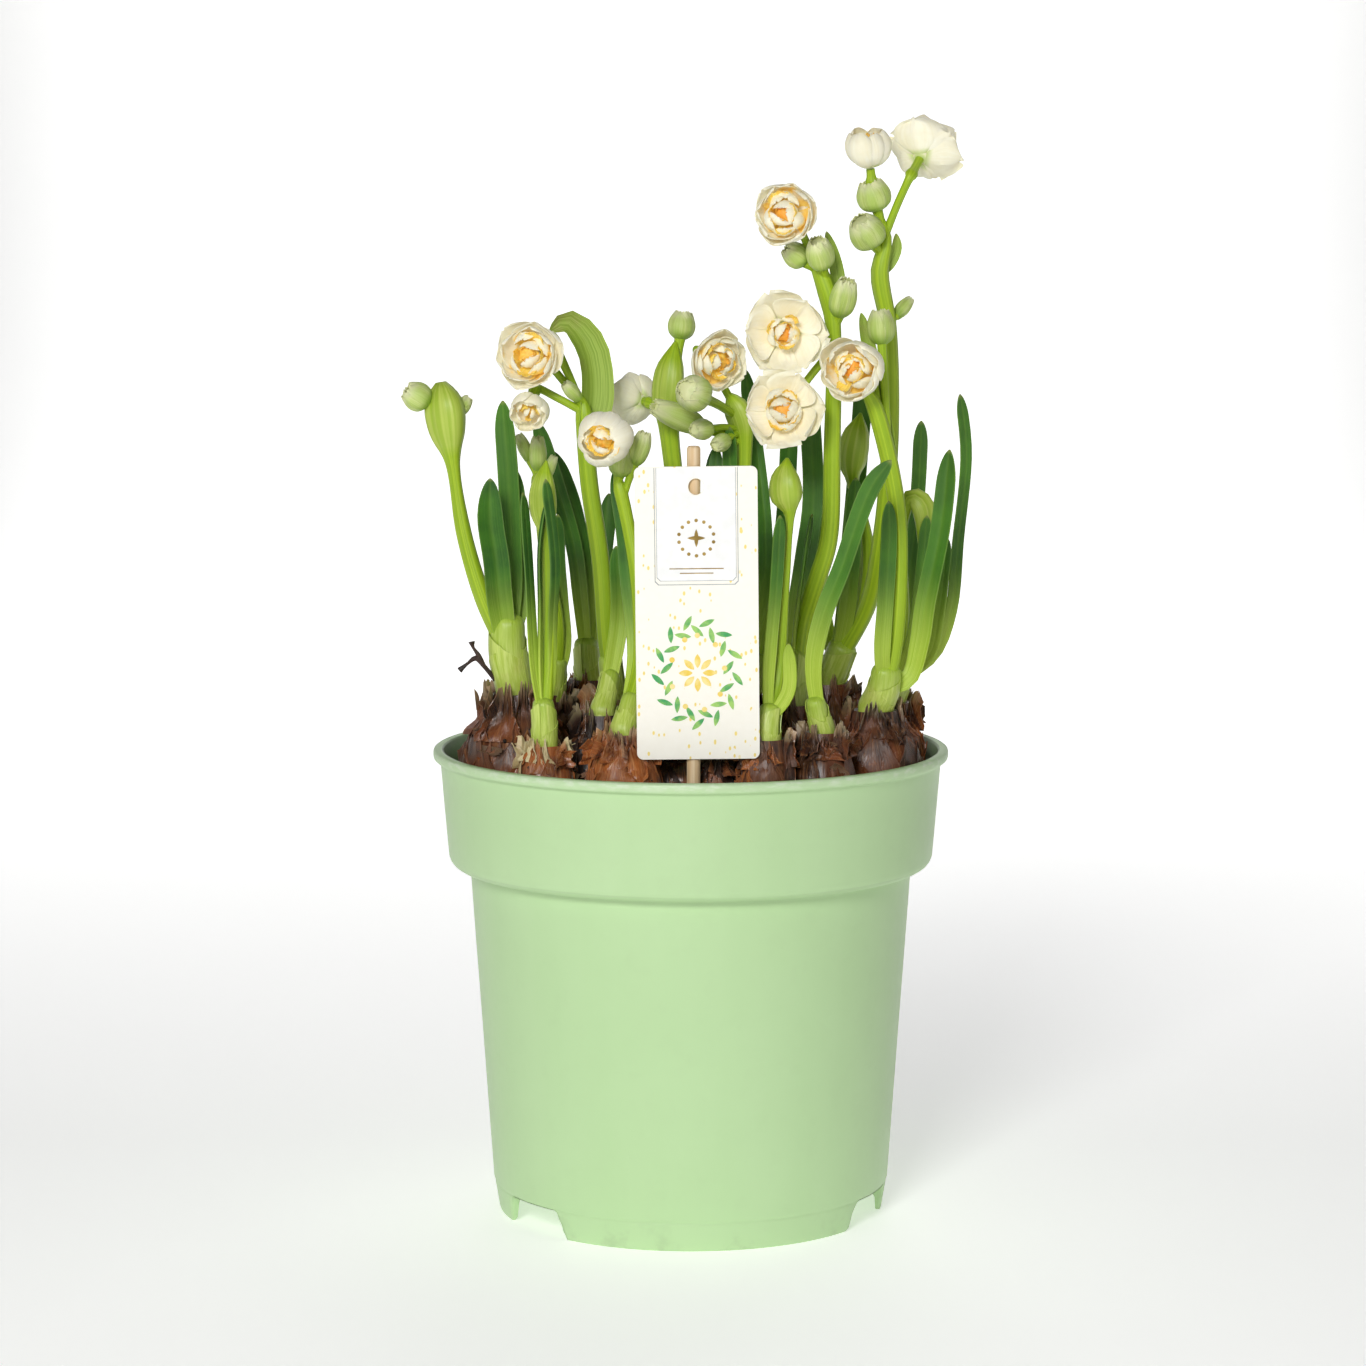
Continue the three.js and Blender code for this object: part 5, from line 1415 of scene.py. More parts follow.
def wrapped_petal(into, home, profile, length, start, span, seed, out):
    """One petal that hugs a spindle: its left edge tucks under and its right edge lies over."""
    origin, axis, first, second = home
    rows, columns = 13, 9
    up = np.linspace(0, 1, rows)
    across = np.linspace(-1, 1, columns)
    reach = profile(up)
    narrow = np.sqrt(np.clip(1 - np.clip((up - 0.45) / 0.58, 0, 1) ** 2.2, 0.03, 1))
    turn = start + across[None] * span / 2 * narrow[:, None]
    lap = 0.06 * reach[:, None] * across[None]
    flare = out * np.clip((up - 0.7) / 0.3, 0, 1)[:, None] ** 2
    keel = 0.12 * reach[:, None] * np.exp(-((across[None] / 0.5) ** 2))
    radial = reach[:, None] * 0.95 + lap + keel + flare
    tips = BUD_RAGGED * np.sin(across * 7 + seed * 9)[None] * np.clip((up - 0.8) / 0.2, 0, 1)[:, None]
    level = up[:, None] * length + tips
    spots = origin + axis * level[..., None]
    spots = spots + first * (radial * np.cos(turn))[..., None] + second * (radial * np.sin(turn))[..., None]
    into.shell(spots, 0.35, bud_skin, seed=seed)


def bud(into, plan, seed):
    """A closed bud on its stalk: a core, then petals wrapped round it in turn."""
    start, middle, length, radius, stalk = plan
    start, middle = np.array(start, float), np.array(middle, float)
    axis = unit(middle - start)
    low = middle - axis * length / 2
    bend = (start + low) / 2 + np.array([0, 0, 0.6])
    if np.linalg.norm(low - start) > 2:
        rings = [[*start, stalk * 0.95], [*bend, stalk], [*low, stalk * 1.2]]
        stem(into, rings, stem_skin, 10, 10, 0.04, 3, seed=seed)
    first = unit(np.cross(axis, np.array([0.31, 0.2, 0.93])))
    second = np.cross(axis, first)
    knots = [[stalk * 1.15, 0, 0], [radius * 0.82, 0, 0.15], [radius, 0, 0.4], [radius * 0.97, 0, 0.64]]
    knots += [[radius * 0.76, 0, 0.87], [radius * 0.52, 0, 1.0]]
    curve = smooth_path(np.array(knots) * [1, 1, length], np.linspace(0, 1, 40))

    def profile(up):
        """The bud's radius at shares of its length."""
        return np.interp(up * length, curve[:, 2], curve[:, 0])

    up = np.linspace(0, 0.9, 14)
    around = full_turn(18)
    reach = profile(up)[:, None] * (0.93 + 0.05 * np.cos(3 * around + seed))
    core = low + axis * (up * length)[:, None, None]
    core = core + first * (reach * np.cos(around))[..., None] + second * (reach * np.sin(around))[..., None]
    into.grid(core, bud_skin, seed=seed)
    home = (low, axis, first, second)
    for k in range(3):
        turn = seed * 2 + k * THIRD
        wrapped_petal(into, home, lambda up: profile(up) * 0.97, length, turn, 2.0, seed + k * 0.13, 0.0)
    for k in range(3, 6):
        turn = seed * 2 + k * THIRD + 1.05
        wrapped_petal(into, home, profile, length * 0.97, turn, 2.5, seed + k * 0.13, 0.12 * radius)


# %% Shoots: sheath and stems
def sheath(into, bulb, plan, seed):
    """The fleshy sheath out of the bulb's neck, with a papery wrap that ends in a V."""
    inside, top, radius = plan
    x, y, neck, stalk = (bulb[key] for key in ("x", "y", "neck", "stalk"))
    rings = [[x, y, neck - 4.6, stalk], [x, y, neck, stalk], [*inside, radius], [*top, radius * 0.94]]
    shares = np.concatenate([np.linspace(0, 0.86, 15), [0.9, 0.94, 0.975, 1.0]])
    path = smooth_path(rings, shares)
    around = full_turn(28)
    reach = path[:, 3:4] * (1 + 0.035 * np.cos(2 * around + seed) + 0.012 * np.cos(7 * around))
    reach[-4:] *= np.array([[0.97], [0.9], [0.72], [0.42]])
    spots, first, second = rings_about(path, reach, around)
    into.grid(spots, sheath_skin, v=shares, tone=np.clip((shares - 0.45) * 1.3, 0, 0.8), seed=seed)
    for k in range(2):
        across = np.linspace(-1, 1, 25)
        up = np.linspace(0, 1, 15)
        high = 0.93 - 0.32 * k - (0.42 - 0.12 * k) * (1 - np.abs(across)) ** 1.2
        high = high + 0.015 * ripple_along(across * 9, 2, int(seed * 10) + k)
        share = 0.12 + (high[None] - 0.12) * up[:, None]
        centre = np.stack([np.interp(share, shares, path[:, c]) for c in range(4)], 2)
        turn = seed * 3 + k * 2.6 + across[None] * (2.9 - 0.5 * k)
        radial = centre[..., 3] * 1.03 + 0.2 + 0.15 * k + 0.12 * up[:, None] ** 6
        aside = np.cos(turn)[..., None] * first[8] + np.sin(turn)[..., None] * second[8]
        ring = centre[..., :3] + radial[..., None] * aside
        into.shell(ring, 0.25, sheath_skin, tone=0.25 * (1 - up), seed=seed + k)


def stalk_tones(path):
    """Where a stem swells into its spathe, its tissue is dry and pale."""
    usual = np.median(path[: len(path) // 2, 3])
    return np.clip((path[:, 3] / usual - 1.12) * 2.2, 0, 0.8)


def flower_stem(into, inside, rings, seed):
    """A scape from the sheath up, whose last rings may swell into a closed spathe."""
    points = [[*inside, rings[0][3]], *rings]
    shares = np.linspace(0, 1, 46)
    path = smooth_path(points, shares)
    around = full_turn(20)
    tones = stalk_tones(path)
    flat = 1 + 0.1 * np.cos(2 * around)[None] + 0.035 * np.cos(6 * around)[None]
    creased = 0.08 * np.cos(3 * around) + 0.04 * np.cos(7 * around + 1)
    reach = np.maximum(path[:, 3:4], 0.3) * (flat + tones[:, None] * creased[None])
    reach[-3:] *= np.array([[0.95], [0.8], [0.45]])
    into.grid(rings_about(path, reach, around)[0], stem_skin, v=shares, tone=tones, seed=seed)


# %% Shoots: the stalk of a bloom
SEAT = 0.42


def bloom_stalk(into, plan, seed):
    """A thin stalk, the swollen ovary and the slim tube up to the petals."""
    _, start, middle, facing, radius, _ = plan
    axis = unit(np.array(facing, float))
    start, seat = np.array(start, float), np.array(middle, float) - axis * (SEAT * radius + CLEARANCE)
    ovary = seat - axis * 0.3 * np.linalg.norm(seat - start)
    bend = (start + ovary) / 2 + np.array([0, 0, 1])
    rings = [
        [*start, 1.5], [*bend, 1.45], [*(ovary - axis * 2.2), 1.7],
        [*ovary, 2.4], [*(ovary + axis * 1.9), 1.75], [*seat, 1.6],
    ]
    stem(into, rings, stem_skin, 14, 26, 0.05, 3, seed=seed)


# %% Shoots: the pieces
shoot_things = {}
FLAP_DRYNESS = np.linspace(0.0, 0.55, 30) ** 1.5
bulb_by_name = {bulb["name"]: bulb for bulb in BULBS}
bulb_by_name.update({bulb["twin"]["name"]: bulb["twin"] for bulb in BULBS if "twin" in bulb})
for number, (name, plan) in enumerate(SHOOTS.items()):
    grown = Piece(f"shoot_tissue_{name}")
    bulb = bulb_by_name[name]
    seed = number * 0.83
    sheath(grown, bulb, plan["sheath"], seed)
    inside = plan["sheath"][0]
    for k, (width, turn, points) in enumerate(plan.get("leaves", [])):
        strap(grown, width, turn, [inside, *points], leaf_skin, seed + k * 0.41)
    for k, rings in enumerate(plan.get("stems", [])):
        flower_stem(grown, inside, rings, seed + k * 0.3)
    for k, each in enumerate(plan.get("buds", [])):
        bud(grown, each, seed + k * 0.57)
    for k, (width, turn, points) in enumerate(plan.get("flaps", [])):
        strap(grown, width, turn, points, spathe_skin, seed + k, 0.4, 0.3, FLAP_DRYNESS, 1.6)
    for k, each in enumerate(plan.get("blooms", [])):
        bloom_stalk(grown, each, seed + k * 0.2)
    shoot_things[name] = grown.make("leaf_tissue", f"shoot_{name}")
print("shoots:", sum(triangles(t) for t in shoot_things.values()), "triangles")

# %% [markdown]
# ## The blooms
# The flowers are double: six broad white petals in two overlapping rings, and in place of a plain
# trumpet a knot of smaller curled petals with ruffled yellow pieces of the crown between them. Every
# petal is one sheet that leaves the axis, bends back over it by its cupping, and curls across its
# width, so an open flower, a cup and a closed ball come from the same rule. Light passes through
# such thin tissue, so the petals glow faintly in their own colour. That glow is too weak to light
# anything else, so it is left out of the light sampling, which makes the picture quicker.

# %% Blooms: the materials
PETAL_GLOW = 0.07

petal_skin, tree, surface, place = material(
    "double_narcissus_petal_soft", roughness=0.55, Subsurface_Weight=0.3, Subsurface_Scale=0.0005,
    Sheen_Weight=0.05, Emission_Strength=PETAL_GLOW,
)
spot, tone, _, _, along = surface_map(tree)
veins = veined(tree, spot, 24, 0.9, 4)
cloud = noise(tree, place, 110, 3)
white = mixed(tree, stepped(tree, cloud, 0.3, 0.7), "EFE9CE", "F7F3DE")
white = mixed(tree, times(tree, stepped(tree, veins, 0.56, 0.4), 0.22), white, "E9E0BC")
white = mixed(tree, stepped(tree, along, 0.2, 0.0), white, "C6D28C")
patch = times(tree, minus(tree, noise(tree, place, 150, 2), 0.5), 1.9)
stain = stepped(tree, plus(tree, along, patch), 0.66, 0.34)
stain = times(tree, stain, stepped(tree, tone, 0.02, 0.12))
white = mixed(tree, times(tree, stain, 0.95), white, "FCD86C")
relief = bumped(tree, veins, 0.00012)
relief = bumped(tree, noise(tree, place, 900, 3), 0.00005, relief)
painted(tree, surface, Base_Color=white, Emission_Color=white, Normal=relief)
petal_skin.cycles.emission_sampling = "NONE"

crown_skin, tree, surface, place = material(
    "crown_frill_yellow_soft", roughness=0.5, Subsurface_Weight=0.3, Subsurface_Scale=0.0005,
    Emission_Strength=PETAL_GLOW,
)
spot, tone, _, _, along = surface_map(tree)
veins = veined(tree, spot, 20, 1.0, 4)
cloud = noise(tree, place, 240, 3)
yellow = mixed(tree, stepped(tree, veins, 0.36, 0.66), "FACE48", "FEE582")
rim = plus(tree, along, times(tree, minus(tree, cloud, 0.5), 0.5))
yellow = mixed(tree, stepped(tree, rim, 0.9, 1.15), yellow, "F6B640")
yellow = mixed(tree, stepped(tree, along, 0.3, 0.0), yellow, "F0CE48")
yellow = mixed(tree, tone, yellow, "F09626")
painted(tree, surface, Base_Color=yellow, Emission_Color=yellow, Normal=bumped(tree, veins, 0.0003))
crown_skin.cycles.emission_sampling = "NONE"


# %% Blooms: one petal
def petal(
    into, home, finish, angle, start, lift, length, lean, cup, width, curl, wave, seed,
    thick=0.5, tilt=0.0, tone=0.0, foot=0.22, fan=False, blunt=False,
):
    """A petal that leaves the axis at an angle, bends back over it and curls across its width."""
    origin, first, second, axis = home
    out = first * math.cos(angle) + second * math.sin(angle)
    tangent = second * math.cos(angle) - first * math.sin(angle)
    up = np.sin(np.linspace(0, 1, 16) * math.pi / 2) ** 1.1
    heading = lean - cup * up
    radial = start + length / cup * (np.cos(heading) - math.cos(lean))
    height = lift + length / cup * (math.sin(lean) - np.sin(heading))
    rise = foot + (1 - foot) * np.sin(np.clip(up / 0.5, 0, 1) * math.pi / 2)
    end = np.clip((up - 0.42) / 0.58, 0, 1)
    taper = 0.75 * end**6 if blunt else end**3.2
    shape = rise * np.sqrt(np.clip(1 - taper, 0.02, 1))
    if fan:
        shape = (0.42 + 0.58 * up) * np.sqrt(1 - 0.4 * end**8)
    half = (width * shape)[:, None]
    across = np.linspace(-1, 1, 15)
    sideways = half * np.sin(curl * across) / curl
    inward = half * (1 - np.cos(curl * across)) / curl
    phase = seed * 7.3
    frill = np.sin(across[None] * (8 if fan else 4.4) + phase + up[:, None] * 2.2)
    frill = frill * (0.2 + np.abs(across[None]) ** 1.6) * up[:, None] ** 2
    crease = -0.35 * np.exp(-((across[None] / 0.16) ** 2)) * np.sin(up[:, None] * math.pi)
    pleats = 0.16 * np.sin(across[None] * 19 + phase) * np.sin(up[:, None] * math.pi)
    ragged = np.sin(across[None] * (13 if fan else 5.5) + phase * 2)
    rough = np.clip((up - 0.8) / 0.2, 0, 1)[:, None] * ragged
    inner = out * -np.cos(heading)[:, None] + axis * np.sin(heading)[:, None]
    ahead = out * np.sin(heading)[:, None] + axis * np.cos(heading)[:, None]
    spots = origin + (out * radial[:, None] + axis * height[:, None])[:, None]
    rise_in = inward + wave * (frill + crease + pleats) + tilt * across[None] * half
    spots = spots + tangent * sideways[..., None] + inner[:, None] * rise_in[..., None]
    spots = spots + ahead[:, None] * (rough * wave * (0.8 if fan else 0.45))[..., None]
    section = thick * (1 - 0.6 * np.abs(across[None]) ** 4) * (1 - 0.5 * up[:, None] ** 4)
    into.shell(spots, section, finish, v=up, tone=tone, seed=seed)


def bloom_home(plan):
    """Where a bloom sits: the seat of its petals, two directions across and its axis."""
    _, _, middle, facing, radius, _ = plan
    axis = Vector(facing).normalized()
    turn = Vector((0, 0, 1)).rotation_difference(axis).to_matrix()
    first, second = np.array(turn @ Vector((1, 0, 0))), np.array(turn @ Vector((0, 1, 0)))
    axis = np.array(axis)
    return np.array(middle, float) - axis * SEAT * radius, first, second, axis


# %% Blooms: the whole flower
def look(seed, bowl, heart, puffs, lumps, frills, **more):
    """What sets one bloom apart: the reach of its bowl and heart, and how many curled petals it has."""
    return dict(seed=seed, bowl=bowl, heart=heart, puffs=puffs, lumps=lumps, frills=frills, **more)


LOOKS = {
    "left_high": look(1, 0.78, 0.68, 4, 2, 4),
    "left_half_open": look(2, 0.7, 0.55, 0, 2, 3),
    "globe": look(3, 0.0, 0.72, 4, 2, 7),
    "back_turned": look(4, 0.76, 0.6, 4, 2, 4),
    "middle": look(5, 0.76, 0.68, 4, 2, 5),
    "high": look(6, 0.84, 0.74, 5, 3, 4, orange=0.6),
    "largest": look(7, 0.0, 0.46, 6, 2, 6, orange=0.8),
    "lower": look(8, 0.0, 0.66, 5, 3, 4, orange=0.5),
    "right_half_open": look(9, 0.82, 0.7, 5, 2, 5, orange=0.7),
    "cup": look(10, 0.7, 0.5, 0, 2, 3),
    "top_turned": look(11, 0.8, 0.62, 4, 2, 5, ruffle=1.7),
}
OUTWARD = 1.5
FIFTH = 1.257


def rise_of(length, lean, cup):
    """How high a petal of this length and bend reaches above its foot."""
    return length / cup * (math.sin(lean) - math.sin(lean - cup))


def bloom_sizes(plan, look):
    """What both parts of a bloom share: its home, scale, heart, outer petals and the heart's top."""
    radius, cupping = plan[4:]
    size = radius / 13
    spread = (math.cos(max(OUTWARD - cupping, 0)) - math.cos(OUTWARD)) / cupping
    length = (radius - 1.8 * size) / spread
    top = rise_of(length, OUTWARD, cupping) * (1.15 if cupping < 1.5 else 0.84) + 1.6 * size

    def settled(start, long, lean, cup, drop):
        """Keeps a petal of the heart above the outer petals and below the heart's top."""
        heading = math.acos(min(math.cos(OUTWARD) + max(start - 1.8 * size, 0) * cupping / length, 1))
        floor = 2.7 * size + length / cupping * (math.sin(OUTWARD) - math.sin(heading))
        each = rise_of(1, lean, cup)
        long = min(long, max(top - drop - floor, 0.35 * long) / each)
        return max(floor, top - drop - each * long), long

    return bloom_home(plan), size, look["heart"] * radius, length, top, settled


def bloom_petals(plan, look):
    """The white part: a green seat, six outer petals, an inner bowl and the puffs of the heart."""
    name, _, _, _, radius, cupping = plan
    home, size, heart, length, _, settled = bloom_sizes(plan, look)
    draw = np.random.default_rng(look["seed"])
    flower = Piece(f"bloom_petals_{name}")
    origin, _, _, axis = home
    seat = [(0, 1.7), (1.2, 2.7), (3.4, 2.2), (5.4, 1.0)]
    rings = [[*(origin + axis * level * size), reach * size] for level, reach in seat]
    stem(flower, rings, petal_skin, 18, 10)
    for k in range(6):
        upper = k % 2
        angle = k * math.pi / 3 + draw.uniform(-0.08, 0.08)
        long = length * (0.9 if upper else 1.0) * draw.uniform(0.97, 1.02)
        cup = cupping * draw.uniform(0.94, 1.06)
        width = radius * (0.74 if cupping < 1.6 else 0.76) * (0.94 if upper else 1.0)
        wave = look.get("ruffle", 1.1 if cupping < 1 else 0.6) * size
        petal(
            flower, home, petal_skin, angle, 1.8 * size, (0.5 + 1.2 * upper) * size, long, OUTWARD, cup,
            width, 0.5 + 0.28 * cupping, wave, look["seed"] + k * 0.31,
            tilt=0.07, foot=0.3, blunt=cupping > 1.6,
        )
    turn = look["seed"] * 1.3
    cup = min(max(1.5, cupping + 0.25), 2.3)
    bowl = look["bowl"] * radius
    long = (bowl - 1.9 * size) * cup / 0.88
    for k in range(5 if bowl else 0):
        angle = turn + k * FIFTH + draw.uniform(-0.12, 0.12)
        petal(
            flower, home, petal_skin, angle, 1.9 * size, 1.6 * size, long * draw.uniform(0.92, 1.04), 1.45,
            cup, bowl * 0.74, 0.85, 0.6 * size, look["seed"] + 2 + k * 0.17, tone=0.12, tilt=0.1, foot=0.4,
        )
    for k in range(look["puffs"]):
        angle = turn + 0.6 + k * 2 * math.pi / look["puffs"] + draw.uniform(-0.35, 0.35)
        start = draw.uniform(0.5, 0.66) * heart
        long = 1.12 * heart * draw.uniform(0.72, 1.16)
        foot, long = settled(start, long, 1.1, 2.3, draw.uniform(-0.3, 1.4) * size)
        width = draw.uniform(0.42, 0.68) * heart
        petal(
            flower, home, petal_skin, angle, start, foot, long, 1.1, 2.3, width, 1.15, 0.07 * heart,
            look["seed"] + 3 + k * 0.23, thick=0.55, tone=0.12, tilt=draw.uniform(-0.2, 0.2), foot=0.5,
        )
    for k in range(look["lumps"]):
        angle = turn + k * 2 * math.pi / look["lumps"] + draw.uniform(-0.5, 0.5)
        start = draw.uniform(0.26, 0.4) * heart
        long = heart * draw.uniform(0.85, 1.12)
        foot, long = settled(start, long, 0.9, 2.1, -draw.uniform(0.2, 1.2) * size)
        width = draw.uniform(0.44, 0.62) * heart
        petal(
            flower, home, petal_skin, angle, start, foot, long, 0.9, 2.1, width, 1.15, 0.06 * heart,
            look["seed"] + 5 + k * 0.21, thick=0.6, tone=0.05, tilt=draw.uniform(-0.25, 0.25), foot=0.55,
        )
    return flower.make("petal_tissue", f"petals_{name}")


def bloom_crown(plan, look):
    """The yellow part: an orange heart and frilled pieces of the crown between the puffs."""
    home, size, heart, _, top, settled = bloom_sizes(plan, look)
    origin, _, _, axis = home
    draw = np.random.default_rng(look["seed"] + 50)
    knot = Piece(f"bloom_crown_{plan[0]}")
    deep = top - 2.6 * size
    core = [(2.6 * size, 0.14), (top - 0.5 * deep, 0.4), (top - 0.3 * deep, 0.38), (top - 0.14 * deep, 0.14)]
    rings = [[*(origin + axis * level), reach * heart] for level, reach in core]
    stem(knot, rings, crown_skin, 24, 14, 0.12, tone=look.get("orange", 0.1))
    turn = look["seed"] * 1.3 + 0.6
    for k in range(look["frills"]):
        angle = turn + (k + 0.5) * 2 * math.pi / look["frills"] + draw.uniform(-0.4, 0.4)
        start = draw.uniform(0.3, 0.5) * heart
        lean = 0.95 if k % 2 else 0.6
        foot, long = settled(start, 0.95 * heart * draw.uniform(0.7, 1.15), lean, 0.7, 0.2 * size)
        width = draw.uniform(0.34, 0.6) * heart
        petal(
            knot, home, crown_skin, angle, start, foot, long, lean, 0.7, width, 0.9, 0.055 * heart,
            look["seed"] + k * 0.23, fan=True, thick=0.4,
        )
    for k in range(3):
        foot, long = settled(0.24 * heart, 0.6 * heart * draw.uniform(0.9, 1.1), 0.55, 0.9, 0.0)
        petal(
            knot, home, crown_skin, turn + k * 2.1, 0.24 * heart, foot, long, 0.55, 0.9, 0.18 * heart, 1.0,
            0.05 * heart, look["seed"] + 2 + k * 0.3, fan=True, thick=0.36, tone=0.35,
        )
    return knot.make("crown_tissue", f"crown_{plan[0]}")


bloom_things = []
for plan in SHOOTS.values():
    for each in plan.get("blooms", []):
        bloom_things.append(bloom_petals(each, LOOKS[each[0]]))
        bloom_things.append(bloom_crown(each, LOOKS[each[0]]))
print("blooms:", sum(triangles(t) for t in bloom_things), "triangles")

# %% [markdown]
# ## Label and stick
# The plant label is a stiff coated card with round corners, punched for hanging, and a plain wooden
# skewer carries it. The printed side keeps the real card's pale ground, its framed white panel and
# its soft greens, yellows and gold, but the motifs are plain ones of our own: a ring of dots round a
# star, two thin bars and a wreath of simple leaves with berries. Each print layer is a thin skin of
# ink on the card.

# %% Label: card and stick
STICK = {"x": 1, "y": -68, "radius": 2.4, "bottom": 96, "point": 8, "top": 288}
LABEL = {"width": 43, "height": 103, "thick": 0.8, "corner": 2.2, "hole": 2.7, "drop": 7}
LABEL_PLACE = {"middle": (2.2, -71.2, 229.5), "lean": -0.6}

wood, tree, surface, place = material("birch_stick_turned_dry", roughness=0.6)
grain = noise(tree, stretched(tree, place, (900, 900, 24)), 1.0, 4)
rings_of_wood = noise(tree, stretched(tree, place, (260, 260, 8)), 1.0, 3)
brown = mixed(tree, stepped(tree, grain, 0.35, 0.7), "D9B98C", "EFD9B6")
brown = mixed(tree, times(tree, stepped(tree, rings_of_wood, 0.55, 0.7), 0.4), brown, "BE9560")
painted(tree, surface, Base_Color=brown, Normal=bumped(tree, grain, 0.0002))

stick = Piece("label_stick_wood")
around = full_turn(28)
bottom, top, reach = STICK["bottom"], STICK["top"], STICK["radius"]
levels = [(0.72, bottom), (reach * 0.6, bottom + 3), (reach, bottom + STICK["point"])]
levels += [(reach, z) for z in np.linspace(bottom + 20, top - 1.2, 12)]
levels += [(reach - 0.15, top - 0.5), (reach - 0.6, top)]
rings = []
for r, z in levels:
    x, y = STICK["x"] + r * np.cos(around), STICK["y"] + r * np.sin(around)
    rings.append(np.column_stack([x, y, np.full(len(around), z)]))
stick.grid(np.array(rings), wood)
stick.make("stick_wood", "label_stick")

card_stock, tree, surface, place = material("coated_card_matte_pressed", roughness=0.45, Coat_Weight=0.05)
fleck = noise(tree, place, 420, 3)
cream = mixed(tree, fleck, "FAF6E9", "FEFBF1")
specks = add(tree, "ShaderNodeTexVoronoi", {"Vector": stretched(tree, place, (1, 1, 0.6)), "Scale": 560.0})
chance = add(tree, "ShaderNodeSeparateColor", {0: specks.outputs["Color"]}).outputs[0]
rare = stepped(tree, chance, 0.62, 0.64)
spot = times(tree, stepped(tree, specks.outputs["Distance"], 0.3, 0.22), rare)
cream = mixed(tree, times(tree, spot, 0.85), cream, "F5D95A")
painted(tree, surface, Base_Color=cream, Normal=bumped(tree, noise(tree, place, 1100, 3), 0.00002))


def outline_of(points_list, finish, name, thick, proud, bevel=0.0):
    """A flat outline, with holes, as a thin plate of the label, made a mesh before it is placed."""
    flat = bpy.data.curves.new(name, "CURVE")
    flat.dimensions = "2D"
    flat.fill_mode = "BOTH"
    flat.extrude = thick / 2 * MM - bevel * MM
    flat.bevel_depth = bevel * MM
    for points in points_list:
        line = flat.splines.new("POLY")
        line.points.add(len(points) - 1)
        for spot, (x, y) in zip(line.points, points):
            spot.co = (x * MM, y * MM, 0, 1)
        line.use_cyclic_u = True
    thing = linked(name, flat)
    mesh = evaluated_mesh(thing)
    bpy.data.objects.remove(thing)
    places = np.empty(len(mesh.vertices) * 3)
    mesh.vertices.foreach_get("co", places)
    places = places.reshape(-1, 3) / MM
    lean = math.radians(LABEL_PLACE["lean"])
    x, up, out = places[:, 0], places[:, 1], -places[:, 2] - proud
    across = x * math.cos(lean) + up * math.sin(lean)
    turned = np.column_stack([across, out, up * math.cos(lean) - x * math.sin(lean)])
    mesh.vertices.foreach_set("co", ((turned + np.array(LABEL_PLACE["middle"])) * MM).ravel())
    mesh.materials.clear()
    mesh.materials.append(finish)
    mesh.update()
    return mesh


def rounded(width, height, corner, steps=7):
    """A rectangle with round corners, as points that run anticlockwise."""
    turns = np.linspace(0, math.pi / 2, steps)
    points = []
    for k, (sx, sy) in enumerate(((1, -1), (1, 1), (-1, 1), (-1, -1))):
        cx, cy = sx * (width / 2 - corner), sy * (height / 2 - corner)
        start = (k - 1) * math.pi / 2
        points += [(cx + corner * math.cos(start + t), cy + corner * math.sin(start + t)) for t in turns]
    return points


HOLE_HEIGHT = LABEL["height"] / 2 - LABEL["drop"]
hole = [
    (LABEL["hole"] * math.cos(t), HOLE_HEIGHT + LABEL["hole"] * 1.1 * math.sin(t))
    for t in np.linspace(0, 6.283, 40, endpoint=False)
]
card_outline = rounded(LABEL["width"], LABEL["height"], LABEL["corner"])
card = outline_of([card_outline, hole], card_stock, "label_card", LABEL["thick"], 0, 0.09)
placed("label_card", card, "label_card", "label")
print("label:", len(card.polygons), "faces")

# %% Label: the inks
def ink(name, one, other, roughness=0.5, **shader):
    """Printed ink with the cloudy wash of a watercolour."""
    made, tree, surface, place = material(name, roughness=roughness, **shader)
    wash = noise(tree, place, 260, 4)
    colour = mixed(tree, stepped(tree, wash, 0.32, 0.68), one, other)
    painted(tree, surface, Base_Color=colour, Normal=bumped(tree, noise(tree, place, 1300, 2), 0.00001))
    return made


INKS = {
    "panel": ink("ink_panel_white_printed", "F3F3F1", "FAFAF9", 0.38),
    "line": ink("ink_line_grey_printed", "A6A8A8", "B8BABA"),
    "gold": ink("ink_gold_foil_pressed", "8F7432", "B89A52", 0.32, Metallic=0.35),
    "green": ink("ink_leaf_green_printed", "3FA35A", "A6D36B"),
    "yellow": ink("ink_berry_yellow_printed", "F2CF4A", "FAE79A"),
}


def disc(x, y, r, steps=20):
    """A small round spot."""
    return [(x + r * math.cos(t), y + r * math.sin(t)) for t in full_turn(steps)]


def small_leaf(x, y, turn, length, width):
    """A plain pointed leaf that is drawn about its middle."""
    side = [(length * (k / 8 - 0.5), width / 2 * math.sin(math.pi * k / 8) ** 0.8) for k in range(9)]
    loop = side + [(a, -b) for a, b in side[-2:0:-1]]
    cos, sin = math.cos(turn), math.sin(turn)
    return [(x + a * cos - b * sin, y + a * sin + b * cos) for a, b in loop]


def printed(name, shapes, finish, layer):
    """One layer of ink on the front of the card."""
    placed(name, outline_of(shapes, finish, name, 0.03, 0.42 + 0.035 * layer), "label_card")


# %% Label: a framed panel, a ring of dots and a wreath
half_height = LABEL["height"] / 2


def frame_of(wide, tall, line):
    """A thin line round three sides of a panel that hangs from the top edge, 0.3 mm inside it."""
    top = half_height - 0.3
    outer = [(-wide / 2, top), (-wide / 2, top - tall + 1.2), (-wide / 2 + 1.2, top - tall)]
    outer += [(wide / 2 - 1.2, top - tall), (wide / 2, top - tall + 1.2), (wide / 2, top)]
    inner = [(x - math.copysign(line, x), y if y == top else y + line) for x, y in reversed(outer)]
    return outer + inner


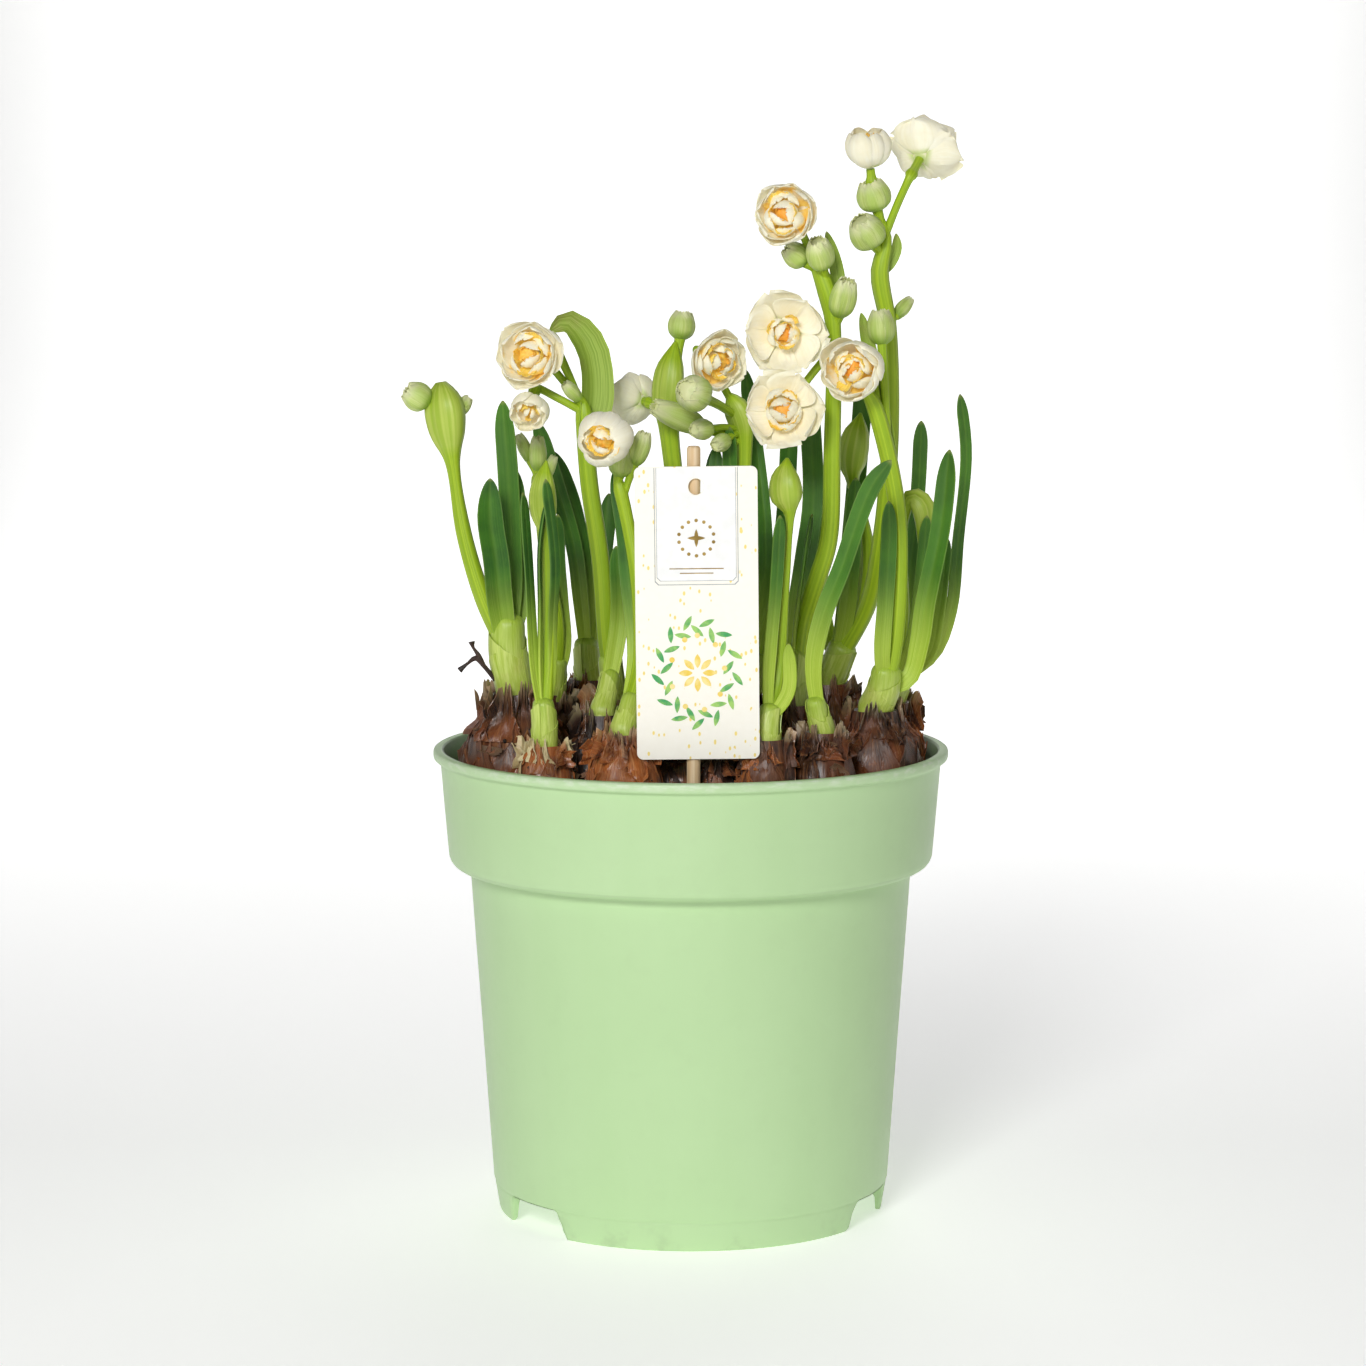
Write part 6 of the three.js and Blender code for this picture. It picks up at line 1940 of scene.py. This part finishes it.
peg = [(x * 1.12, half_height - 7 + (y - half_height + 7) * 1.12) for x, y in hole]
top = half_height - 0.3
sheet = [(-14, top), (-14, top - 38.6), (-12.8, top - 39.8), (12.8, top - 39.8), (14, top - 38.6), (14, top)]
printed("print_panel", [sheet, peg], INKS["panel"], 0)
printed("print_frame", [frame_of(29.4, 41.2, 0.3), frame_of(28.0, 39.8, 0.2)], INKS["line"], 1)

DOTS = {"height": 26.5, "reach": 6.2, "count": 14, "radius": 0.62}
dots = [
    disc(DOTS["reach"] * math.sin(t), DOTS["height"] + DOTS["reach"] * math.cos(t), DOTS["radius"], 14)
    for t in full_turn(DOTS["count"])
]
diamonds = [small_leaf(0, DOTS["height"], t, 6.4, 1.5) for t in (0.0, math.pi / 2)]
printed("print_dots", dots, INKS["gold"], 2)
for k, star in enumerate(diamonds):
    printed(f"print_star_{k}", [star], INKS["gold"], 2 + k)
bar = [(-9.5, 15.6), (9.5, 15.6), (9.5, 15.95), (-9.5, 15.95)]
printed("print_bar", [bar, [(x * 0.62, y - 1.6) for x, y in bar]], INKS["gold"], 2)

WREATH = {"middle": -21.0, "across": 12.5, "up": 16.5, "leaves": 26, "length": 6.0, "width": 1.9}
green_leaves, berries = [], []
for k in range(WREATH["leaves"]):
    turn = 2 * math.pi * k / WREATH["leaves"]
    x, y = WREATH["across"] * math.sin(turn), WREATH["middle"] + WREATH["up"] * math.cos(turn)
    along = math.atan2(-WREATH["up"] * math.sin(turn), WREATH["across"] * math.cos(turn))
    side = 1 if k % 2 else -1
    spot = (x + 1.6 * side * math.sin(turn), y + 1.6 * side * math.cos(turn))
    green_leaves.append(small_leaf(*spot, along + 0.75 * side, WREATH["length"], WREATH["width"]))
    if k % 3 == 0:
        berries.append(disc(x * 1.02 - 3.2 * math.sin(turn), y - 3.2 * math.cos(turn), 0.95))
for k, shape in enumerate(green_leaves):
    printed(f"print_leaf_{k}", [shape], INKS["green"], 1 + k % 2)
printed("print_berries", berries, INKS["yellow"], 3)
blossom = [
    small_leaf(4.2 * math.cos(t), WREATH["middle"] + 4.2 * math.sin(t), t, 5.0, 2.2)
    for t in full_turn(8)
]
printed("print_blossom", blossom, INKS["yellow"], 1)
print("print: a panel, a frame, a ring of", len(dots), "dots and a wreath of", len(green_leaves), "leaves")
